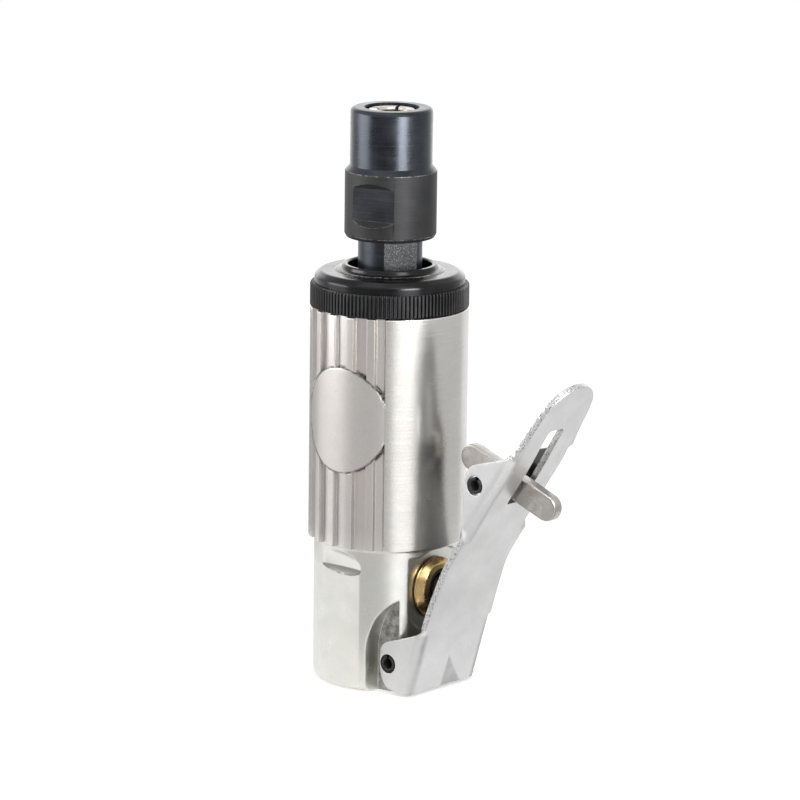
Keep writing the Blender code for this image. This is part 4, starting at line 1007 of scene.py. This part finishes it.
def make_valve(s):
    at = (0, 0, VALVE_Z)
    bushing = turned([
        (4.1, 8.0), (6.0, 8.0), (6.0, 15.2), (7.5, 15.2, 0.1), (7.5, 15.9, 0.5), (6.3, 17.5, 0.9),
        (5.1, 17.75, 0.3), (5.1, 16.3), (4.1, 16.3),
    ], 128, "X", at)
    finished(solid(bushing), "valve_gland", "body", ["valve_bushing"], [turned_brass(s.brass)])
    seal = turned(around(0.46, range(0, 360, 24), 4.35, 16.95), 96, "X", at)
    rubber = fibrous("seal_rubber", (0.022, 0.021, 0.02), size=0.3, rough=0.5, depth=0.01)
    finished(solid(seal), "valve_seal", "body", ["valve_bushing_oring"], [rubber])
    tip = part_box("valve_stem")[1].x / MM - AXIS_X / MM
    stem = turned([
        (0, -7.0), (1.2, -7.0), (1.2, -6.6), (5.0, -6.6, 0.2), (5.3, -6.3), (5.3, -4.9), (5.1, -4.7), (3.0, -4.7),
        (2.0, -3.6), (2.0, 6.0), (3.6, 7.4, 0.3), (3.6, tip - 0.6, 1.4), (1.4, tip, 1.0), (0, tip),
    ], 80, "X", at)
    bronze = steel("plunger_bronze", (0.42, 0.31, 0.27), 0.3, (1, 30, 30))
    finished(solid(stem), "throttle_plunger", "valve", ["valve_stem"], [bronze])
    # the return spring stands on the bore's end; the real one shortens as the valve goes in
    spring = coiled(radius=3.0, wire=0.3, pitch=0.8, turns=4.0, legs=((), ()))
    along_bore = Matrix(((0, 0, 1, -10.4), (1, 0, 0, 0), (0, 1, 0, VALVE_Z), (0, 0, 0, 1)))
    bmesh.ops.transform(spring, verts=spring.verts, matrix=along_bore)
    wire = steel("spring_steel", (0.45, 0.44, 0.42), 0.25)
    spring = finished(solid(spring), "return_spring", "body", ["valve_spring"], [wire], smooth=60)
    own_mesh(spring)


# ---- lever and lock ------------------------------------------------------------

LEVER_FACE = (
    (18.0, 0.5), (19.2, 4.6), (21.9, 13.7), (24.4, 21.5), (26.0, 26.0), (28.3, 31.8), (30.9, 36.2),
    (34.6, 41.9), (39.9, 50.0), (43.8, 55.6), (46.6, 60.0), (49.0, 64.0), (51.4, 68.0), (53.9, 72.0),
    (56.4, 76.0), (59.1, 80.2),
)  # X, Z of its outer face, from the foot to the tip
FOOT_HALF, EAR_HALF = 12.9, 11.4
CREASE_MIDDLE, CREASE_HALF = 3.2, 4.1  # where it starts at the foot, and half its width there
CREASE_TOP, CREASE_DEPTH = 9.0, 0.3
CREASE_LEAN = 0.4  # how far its middle moves aside for each mm up
BAR_TURN = -21  # how the lock bar lies, in degrees from level


class Bent:
    """The lever's sheet: where a point of the flat blank goes when it is bent.
    A point is (across, along, through), measured on the outer face."""

    def __init__(self, bend):
        self.bend = bend
        self.line = np.array(flowing(LEVER_FACE, 8))
        lengths = np.hypot(*np.diff(self.line, axis=0).T)
        self.t = np.concatenate([[0], np.cumsum(lengths)])
        slope = np.gradient(self.line, self.t, axis=0)
        self.slope = slope / np.linalg.norm(slope, axis=1)[:, None]

    def face(self, t):
        """The outer face's point and direction at t, straight on past its ends."""
        inside = min(max(t, 0.0), self.t[-1])
        p = np.array([np.interp(inside, self.t, self.line[:, i]) for i in (0, 1)])
        d = np.array([np.interp(inside, self.t, self.slope[:, i]) for i in (0, 1)])
        d /= np.linalg.norm(d)
        return p + d * (t - inside), d

    def t_of(self, z):
        return float(np.interp(z, self.line[:, 1], self.t))

    def half(self, z):
        """Half the bent lever's width at a height."""
        widths = (FOOT_HALF, 12.3, 11.8, EAR_HALF, EAR_HALF, 10.5)
        return float(np.interp(z, (17.4, 22, 25, 30, 60, 66), widths))

    def fold(self, z):
        """How far the sides are folded in at a height, in radians."""
        turn = np.interp(z, (16.0, 17.4, 40.2, 44.2, 60.6, 63.4), (1, 0, 0, 1, 1, 0))
        return math.pi / 2 * turn * turn * (3 - 2 * turn)

    def radius(self, z):
        """The bend's radius, which opens out towards the lock."""
        return self.bend * float(np.interp(z, (20, 38), (1, 1.15)))

    def across(self, z, depth):
        """How far out on the blank an ear's point lies that is this deep when bent."""
        return self.half(z) + depth - self.radius(z) * (2 - math.pi / 2)

    def unfold(self, x, z):
        """(across, along) on the blank of an ear's point."""
        def off(t):
            return float(np.hypot(*(self.face(t)[0] - (x, z))))

        best = min(np.arange(-4, self.t[-1], 0.05), key=off)
        p, d = self.face(best)
        return self.across(p[1], float(np.dot((x, z) - p, (-d[1], d[0])))), float(best)

    def crease(self, across, z):
        """The depth of the shallow crease that the press left at the foot."""
        left = max(1 - z / CREASE_TOP, 0.0)
        if not left:
            return 0.0
        aside = abs(across - CREASE_MIDDLE + CREASE_LEAN * z)
        return CREASE_DEPTH * left * max(1 - aside / (CREASE_HALF * left), 0.0)

    def place(self, across, along, through):
        p, d = self.face(along)
        side, s = math.copysign(1, across), abs(across)
        bend = self.radius(p[1])
        flat = self.half(p[1]) - bend
        y, depth, turn = s, 0.0, 0.0
        if s > flat:
            turn = min((s - flat) / bend, self.fold(p[1]))
            rest = s - flat - bend * turn
            y = flat + bend * math.sin(turn) + rest * math.cos(turn)
            depth = bend * (1 - math.cos(turn)) + rest * math.sin(turn)
        depth += self.crease(across, p[1])
        y -= through * math.sin(turn)
        depth += through * math.cos(turn)
        return p[0] - d[1] * depth, side * y, p[1] + d[0] * depth


def lever_blank(sheet, thick):
    """The lever's flat blank, with its slot and its pin holes."""
    tip_r = 8.7
    tip_z = 80.0 - 0.84 * tip_r
    foot = [sheet.unfold(x, z) for x, z in (
        (15.4, 0.5), (12.2, 1.2), (10.8, 2.2), (9.9, 3.7), (9.3, 6.0), (9.2, 8.3), (9.4, 10.6), (10.2, 12.0),
        (11.2, 12.7),
    )]
    shoulder = [sheet.unfold(17.0, 14.6), (sheet.half(16) + 0.2, sheet.t_of(15.9))]
    waist = [(half, sheet.t_of(z)) for half, z in (
        (12.1, 17.3), (12.05, 20.0), (11.85, 24.5), (11.5, 29.5), (11.4, 35.0), (11.45, 39.5), (11.9, 41.6),
    )]
    ear = [(sheet.across(z, depth), sheet.t_of(z)) for z, depth in (
        (42.6, 2.6), (44.4, 3.7), (46.9, 5.7), (49.1, 7.7), (50.6, 8.8), (52.0, 9.35), (53.6, 9.3), (55.2, 8.5),
        (58.0, 5.9), (60.4, 3.5),
    )]
    arm = [(half, sheet.t_of(z)) for half, z in ((10.9, 62.4), (10.2, 64.2), (9.6, 67.5), (8.95, tip_z))]
    side = (
        [(0, 0), (sheet.half(1) - 2.0, 0.0)] + flowing(foot, 5) + shoulder + flowing(waist, 5)
        + flowing(ear, 5) + flowing(arm, 4) + arc(0, sheet.t_of(tip_z), tip_r, 12, 90, 18)
    )
    rim = side + [(-u, v) for u, v in reversed(side[1:-1])]
    w, low, high = 2.8, sheet.t_of(49.4), sheet.t_of(68.9)
    slot = filleted([(-w, low, 0.8), (w, low, 0.8), (w, high, 1.5), (-w, high, 1.5)])
    holes = []
    for pivot in (LEVER_PIVOT, LOCK_PIVOT):
        u, v = sheet.unfold(*pivot)
        holes += [arc(way * u, v, PIN_HOLE, 0, 350, 36) for way in (1, -1)]
    return plate([rim, slot] + holes, thick, 0.16)


def scored(work, places, normal):
    """Cuts the mesh through at each place, so that it can bend there."""
    for place in places:
        geom = list(work.verts) + list(work.edges) + list(work.faces)
        bmesh.ops.bisect_plane(work, geom=geom, plane_co=Vector(normal) * place, plane_no=normal, dist=1e-5)


def make_lever(s):
    sheet = Bent(s.bend / MM)
    thick = s.sheet / MM
    blank = lever_blank(sheet, thick)
    scored(blank, np.arange(-3, sheet.t[-1] + 2, 1.0), (0, 1, 0))
    folds = list(np.arange(7.6, 15.4, 0.4)) + [4.0]
    crease = list(np.arange(-2.2, 7.0, 0.8))
    scored(blank, folds + [-u for u in folds] + crease, (1, 0, 0))
    front, cut, back = range(3)
    layer = blank.faces.layers.int.new("cut_edge")
    for f in blank.faces:
        f[layer] = cut if abs(f.normal.z) < 0.5 else back if f.normal.z < 0 else front
    for v in blank.verts:
        v.co = sheet.place(v.co.x, v.co.y, thick / 2 - v.co.z)
    bmesh.ops.recalc_face_normals(blank, faces=blank.faces)
    lever = solid(blank)
    kinds = [d.value for d in lever.data.attributes["cut_edge"].data]
    finished(lever, "lever_sheet", "lever", ["lever"], [
        plated_sheet("plated_face", s.plating),
        sheared_edge(toned(s.plating, 0.95)),
        # the back of the sheet is the same plating made darker: painted shade
        plated_sheet("plated_back_shade", toned(s.plating, 0.36), rough=0.42),
    ])
    for face, kind in zip(lever.data.polygons, kinds):
        face.material_index = kind
    lever.data.attributes.remove(lever.data.attributes["cut_edge"])


def make_pins(s):
    r, inner = s.pin_radius / MM, 1.25
    skin = black_oxide("pin_black", (0.03, 0.03, 0.03), rough=0.3, rings=0.2, wear=0.3, dust=0.15, lines=(1, 1, 1))
    # the hollow inside each rolled pin is flat black: painted shade
    inside = fibrous("pin_bore_shade", (0.008, 0.008, 0.008), size=0.6, rough=0.7, depth=0.01)
    for name, (x, z), half, gap, body in (
        ("lever_pin", LEVER_PIVOT, FOOT_HALF, 90, "body"), ("lock_pin", LOCK_PIVOT, EAR_HALF, 70, "lever"),
    ):
        section = arc(x, z, r, gap + 10, gap + 350, 48) + arc(x, z, inner, gap + 350, gap + 10, 40)
        pin = plate([section], 2 * half, 0.18)
        bmesh.ops.transform(pin, matrix=Matrix.Rotation(math.pi / 2, 4, "X"), verts=pin.verts)

        def zone(at, normal):
            return int(math.hypot(at.x - x, at.z - z) < inner + 0.1)

        finished(solid(pin), f"rolled_{name}", body, [name], [skin, inside], zone)


def make_lock(s):
    x, z = LOCK_PIVOT
    r, back, out = 3.2, 13.2, 17.2
    outline = arc(out - r, 0, r, -90, 90, 25) + arc(-back + r, 0, r, 90, 270, 25)
    bar = plate([outline, arc(0, 0, PIN_HOLE, 0, 350, 36)], s.bar_thickness / MM, 0.45)
    tilt = Matrix.Rotation(-math.radians(BAR_TURN), 4, "Y")
    upright = Matrix.Rotation(math.pi / 2, 4, "X")
    bmesh.ops.transform(bar, verts=bar.verts, matrix=Matrix.Translation((x, 0, z)) @ tilt @ upright)
    nickel = nickel_bar((0.47, 0.445, 0.42))
    finished(solid(bar), "lock_lever", "lock", ["lock_bar"], [nickel], smooth=50)
    legs = (((-0.4, -2.6, 0), (-0.2, -2.6, 0)), ((-1.2, 2.0, 0), (-1.6, 2.4, 0)))
    spring = coiled(radius=2.85, wire=0.33, pitch=1.0, turns=3.0, legs=legs)
    on_pin = Matrix.Translation((x, 2.3, z)) @ Matrix.Rotation(-math.pi / 2, 4, "X")
    bmesh.ops.transform(spring, verts=spring.verts, matrix=on_pin @ Matrix.Rotation(math.radians(140), 4, "Z"))
    wire = steel("spring_black", (0.06, 0.06, 0.06), 0.35)
    finished(solid(spring), "torsion_spring", "lever", ["lock_spring"], [wire], smooth=60)


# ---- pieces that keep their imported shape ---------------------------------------


def dress_inside():
    """Better finishes for the pieces inside, which keep their own shape."""
    ground = steel("ground_steel", (0.55, 0.54, 0.52), 0.25)
    race = steel("race_steel", (0.62, 0.62, 0.62), 0.14, stain=0.15)
    looks = {
        ("front_end_plate", "rear_end_plate", "motor_cylinder", "locating_pin", "rotor", "bearing_spacer"): ground,
        ("front_bearing_outer", "front_bearing_inner", "front_bearing_balls", "rear_bearing_outer",
         "rear_bearing_inner", "rear_bearing_balls"): race,
        ("vane_1", "vane_2", "vane_3", "vane_4"): fibrous("vane_board", (0.24, 0.13, 0.07), size=0.5, rough=0.55),
        ("muffler_pad",): fibrous("muffler_felt", (0.42, 0.40, 0.35), size=0.5, rough=0.9, depth=0.15),
        ("inlet_screen",): turned_brass((0.60, 0.47, 0.25)),
        ("exhaust_grille",): black_oxide("grille_black", (0.035, 0.035, 0.038), rough=0.4),
    }
    for names, finish in looks.items():
        for name in names:
            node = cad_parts[name]
            node.data.materials.clear()
            node.data.materials.append(finish)
            for face in node.data.polygons:
                face.material_index = 0


# ---- studio --------------------------------------------------------------------

MIDDLE = Vector((AXIS_X, 0, 0.0682))  # what the camera and the lamps point at


def direction(azimuth, elevation):
    """The way out from the tool at an azimuth, turning from -Y towards +X, and a height."""
    level = math.cos(elevation)
    return Vector((level * math.sin(azimuth), -level * math.cos(azimuth), math.sin(elevation)))


def set_camera(s):
    away = direction(s.azimuth, s.elevation)
    lens = bpy.data.cameras.new("camera")
    lens.sensor_width = 36.0
    lens.lens = 224.9
    lens.shift_x = 0.0146
    lens.clip_start, lens.clip_end = 0.05, 20
    camera = bpy.data.objects.new("camera", lens)
    bpy.context.scene.collection.objects.link(camera)
    camera.location = MIDDLE + away * s.distance
    camera.rotation_mode = "QUATERNION"
    roll = Quaternion((0, 0, 1), math.radians(0.7))
    camera.rotation_quaternion = (-away).to_track_quat("-Z", "Y") @ roll
    bpy.context.scene.camera = camera


def set_world():
    """White where it is seen or mirrored, and dimmer as the light that it gives."""
    world = bpy.data.worlds.new("studio_air")
    bpy.context.scene.world = world
    world.use_nodes = True
    tree = world.node_tree
    tree.nodes.clear()
    path = add_node(tree, "LightPath").outputs
    seen = add_node(tree, "Math", {0: path["Is Camera Ray"], 1: path["Is Transmission Ray"]}, operation="MAXIMUM")
    shown = add_node(tree, "Math", {0: seen.outputs[0], 1: path["Is Glossy Ray"]}, operation="MAXIMUM")
    level = add_node(tree, "MapRange", {"To Min": 0.55, "To Max": 1.0, "Value": shown.outputs[0]})
    background = add_node(tree, "Background", {"Color": (1, 1, 1, 1), "Strength": level.outputs["Result"]})
    add_node(tree, "OutputWorld", {"Surface": background.outputs[0]})


def set_lamp(s, name, power, size, azimuth, elevation, distance):
    """A square lamp, at an azimuth from the camera's and an elevation, in degrees."""
    data = bpy.data.lights.new(name, "AREA")
    data.energy = power
    data.size = size
    lamp = bpy.data.objects.new(name, data)
    bpy.context.scene.collection.objects.link(lamp)
    back = direction(s.azimuth + math.radians(azimuth), math.radians(elevation))
    lamp.location = MIDDLE + back * distance
    lamp.rotation_euler = (-back).to_track_quat("-Z", "Y").to_euler()


def card_glow(name, low, high, level_low, level_high):
    """Light that goes from one level to another, from the card's lower edge to its upper."""
    look = bpy.data.materials.new(name)
    look.use_nodes = True
    tree = look.node_tree
    tree.nodes.clear()
    place = add_node(tree, "TexCoord").outputs["Object"]
    level = add_node(tree, "MapRange", {
        "From Min": low * MM, "From Max": high * MM, "To Min": level_low, "To Max": level_high,
        "Value": add_node(tree, "SeparateXYZ", {0: place}).outputs["Z"],
    })
    glow = add_node(tree, "Emission", {"Strength": level.outputs["Result"]})
    add_node(tree, "OutputMaterial", {"Surface": glow.outputs[0]})
    return look


def set_card(s, name, start, end, low, high, level_low, level_high, covers_floor):
    """A card that stands between two directions in degrees from the camera's and between
    two heights in mm, and that only shiny surfaces see."""
    reach = s.card_distance
    wide, tall = 2 * reach * math.tan(math.radians(end - start) / 2), (high - low) * MM
    work = bmesh.new()
    bmesh.ops.create_grid(
        work, x_segments=1, y_segments=1, size=0.5,
        matrix=Matrix.Translation((0, -reach, (low + high) / 2 * MM)) @ Matrix.Rotation(math.pi / 2, 4, "X")
        @ Matrix.Diagonal((wide, tall, 1, 1)),
    )
    if covers_floor:
        foot = [e for e in work.edges if all(v.co.z < (low + 1) * MM for v in e.verts)]
        out = bmesh.ops.extrude_edge_only(work, edges=foot)["geom"]
        bmesh.ops.scale(work, vec=(0.32, 0.32, 1), verts=verts_in(out))
    turn = Matrix.Rotation(s.azimuth + math.radians((start + end) / 2), 4, "Z")
    bmesh.ops.transform(work, verts=work.verts, matrix=Matrix.Translation((AXIS_X, 0, 0.0004)) @ turn)
    card = solid(work, name)
    card.data.materials.append(card_glow(name, low, high, level_low, level_high))
    card.visible_camera = card.visible_diffuse = card.visible_shadow = card.visible_transmission = False


def set_floor(s):
    """A wide matt floor, with a little glow of its own where it is seen or mirrored."""
    work = bmesh.new()
    bmesh.ops.create_circle(work, cap_ends=True, segments=96, radius=6.0)
    floor = solid(work, "floor")
    floor.data.transform(Matrix.Translation((0, 0, -0.0002)))
    look = bpy.data.materials.new("studio_floor")
    look.use_nodes = True
    tree = look.node_tree
    shader = tree.nodes["Principled BSDF"]
    shader.inputs["Base Color"].default_value = (*s.floor, 1)
    shader.inputs["Roughness"].default_value = 0.9
    shader.inputs["Specular IOR Level"].default_value = 0.0
    path = add_node(tree, "LightPath").outputs
    seen = add_node(tree, "Math", {0: path["Is Camera Ray"], 1: path["Is Glossy Ray"]}, operation="MAXIMUM")
    amount = add_node(tree, "Math", {0: seen.outputs[0], 1: 0.45}, operation="MULTIPLY")
    glow = add_node(tree, "Emission", {"Strength": amount.outputs[0]})
    both = add_node(tree, "AddShader", {0: shader.outputs[0], 1: glow.outputs[0]})
    tree.links.new(both.outputs[0], tree.nodes["Material Output"].inputs["Surface"])
    floor.data.materials.append(look)


def make_studio(s):
    bpy.context.scene.view_settings.view_transform = "Standard"
    set_camera(s)
    set_world()
    set_lamp(s, "key", s.key_power, 0.5, 24, 48, 1.0)
    set_lamp(s, "top", s.key_power * 0.8, 0.8, -40, 74, 1.1)
    set_lamp(s, "fill", s.key_power * 0.5, 0.5, -92, 35, 1.1)
    # the bright and dark bands of a light tent, some of which also cover the floor before
    # them: directions, heights, light at the lower and the upper edge, and whether it covers the floor
    for number, card in enumerate((
        (8, 34, 0, 66, 1.6, 1.7, True),
        (19, 42, 72, 150, 1.0, 32.0, False),
        (38, 68, 0, 72, 0.14, 0.78, True),
        (68, 128, 0, 76, 0.74, 0.74, False),
        (-64, 5, 0, 70, 0.66, 0.66, True),
        (-60, 12, 71, 126, 0.42, 0.42, False),
        (-100, -64, 66, 150, 1.5, 11.0, False),
        (135, 225, 96, 190, 1.9, 1.9, False),
        (-160, -116, 0, 64, 0.5, 0.5, False),
    ), 1):
        set_card(s, f"card_{number}", *card)
    set_floor(s)


# ---- operators --------------------------------------------------------------------


class MakeHousing(bpy.types.Operator):
    """Mill the ribbed and polished housing"""

    bl_idname = "die_grinder.make_housing"
    bl_label = "Housing"

    def execute(self, context):
        make_housing(context.scene.grinder_housing)
        return {"FINISHED"}


class MakeCap(bpy.types.Operator):
    """Turn the front clamp cap and cut its knurl"""

    bl_idname = "die_grinder.make_cap"
    bl_label = "Clamp Cap"

    def execute(self, context):
        make_cap(context.scene.grinder_nose)
        return {"FINISHED"}


class MakeNose(bpy.types.Operator):
    """Turn the spindle nose, the collet and its nut"""

    bl_idname = "die_grinder.make_nose"
    bl_label = "Spindle, Collet and Nut"

    def execute(self, context):
        settings = context.scene.grinder_nose
        make_spindle(settings)
        make_collet(settings)
        make_nut(settings)
        return {"FINISHED"}


class MakeInlet(bpy.types.Operator):
    """Turn the threaded air inlet and the grille's screws"""

    bl_idname = "die_grinder.make_inlet"
    bl_label = "Air Inlet"

    def execute(self, context):
        make_inlet()
        return {"FINISHED"}


class MakeValve(bpy.types.Operator):
    """Turn the throttle valve's gland, seal and plunger"""

    bl_idname = "die_grinder.make_valve"
    bl_label = "Throttle Valve"

    def execute(self, context):
        make_valve(context.scene.grinder_throttle)
        return {"FINISHED"}


class MakeLever(bpy.types.Operator):
    """Stamp and bend the throttle lever"""

    bl_idname = "die_grinder.make_lever"
    bl_label = "Throttle Lever"

    def execute(self, context):
        make_lever(context.scene.grinder_throttle)
        return {"FINISHED"}


class MakeLock(bpy.types.Operator):
    """Make the lock bar, its spring and the two rolled pins"""

    bl_idname = "die_grinder.make_lock"
    bl_label = "Lock Bar and Pins"

    def execute(self, context):
        settings = context.scene.grinder_throttle
        make_pins(settings)
        make_lock(settings)
        return {"FINISHED"}


class DressInside(bpy.types.Operator):
    """Give the motor, the bearings and the small fittings their finishes"""

    bl_idname = "die_grinder.dress_inside"
    bl_label = "Inner Pieces"

    def execute(self, context):
        dress_inside()
        return {"FINISHED"}


class MakeStudio(bpy.types.Operator):
    """Set the floor, the lamps and the camera"""

    bl_idname = "die_grinder.make_studio"
    bl_label = "Studio"

    def execute(self, context):
        make_studio(context.scene.grinder_studio)
        return {"FINISHED"}


STEPS = (MakeStudio, MakeHousing, MakeCap, MakeNose, MakeInlet, MakeValve, MakeLever, MakeLock, DressInside)


class DieGrinderPanel(bpy.types.Panel):
    """Lists the steps that make the die grinder"""

    bl_idname = "VIEW3D_PT_die_grinder"
    bl_label = "Die Grinder"
    bl_space_type = "VIEW_3D"
    bl_region_type = "UI"
    bl_category = "Die Grinder"

    def draw(self, context):
        column = self.layout.column()
        for step in STEPS:
            column.operator(step.bl_idname)


GROUPS = {
    "grinder_housing": HousingSettings,
    "grinder_nose": NoseSettings,
    "grinder_throttle": ThrottleSettings,
    "grinder_studio": StudioSettings,
}


def register():
    for group in GROUPS.values():
        bpy.utils.register_class(group)
    for step in STEPS:
        bpy.utils.register_class(step)
    bpy.utils.register_class(DieGrinderPanel)
    for name, group in GROUPS.items():
        setattr(bpy.types.Scene, name, PointerProperty(type=group))


def unregister():
    for name in GROUPS:
        delattr(bpy.types.Scene, name)
    bpy.utils.unregister_class(DieGrinderPanel)
    for step in reversed(STEPS):
        bpy.utils.unregister_class(step)
    for group in GROUPS.values():
        bpy.utils.unregister_class(group)


def main():
    register()
    bpy.ops.die_grinder.make_studio()
    bpy.ops.die_grinder.make_housing()
    bpy.ops.die_grinder.make_cap()
    bpy.ops.die_grinder.make_nose()
    bpy.ops.die_grinder.make_inlet()
    bpy.ops.die_grinder.make_valve()
    bpy.ops.die_grinder.make_lever()
    bpy.ops.die_grinder.make_lock()
    bpy.ops.die_grinder.dress_inside()


if __name__ == "__main__":
    main()
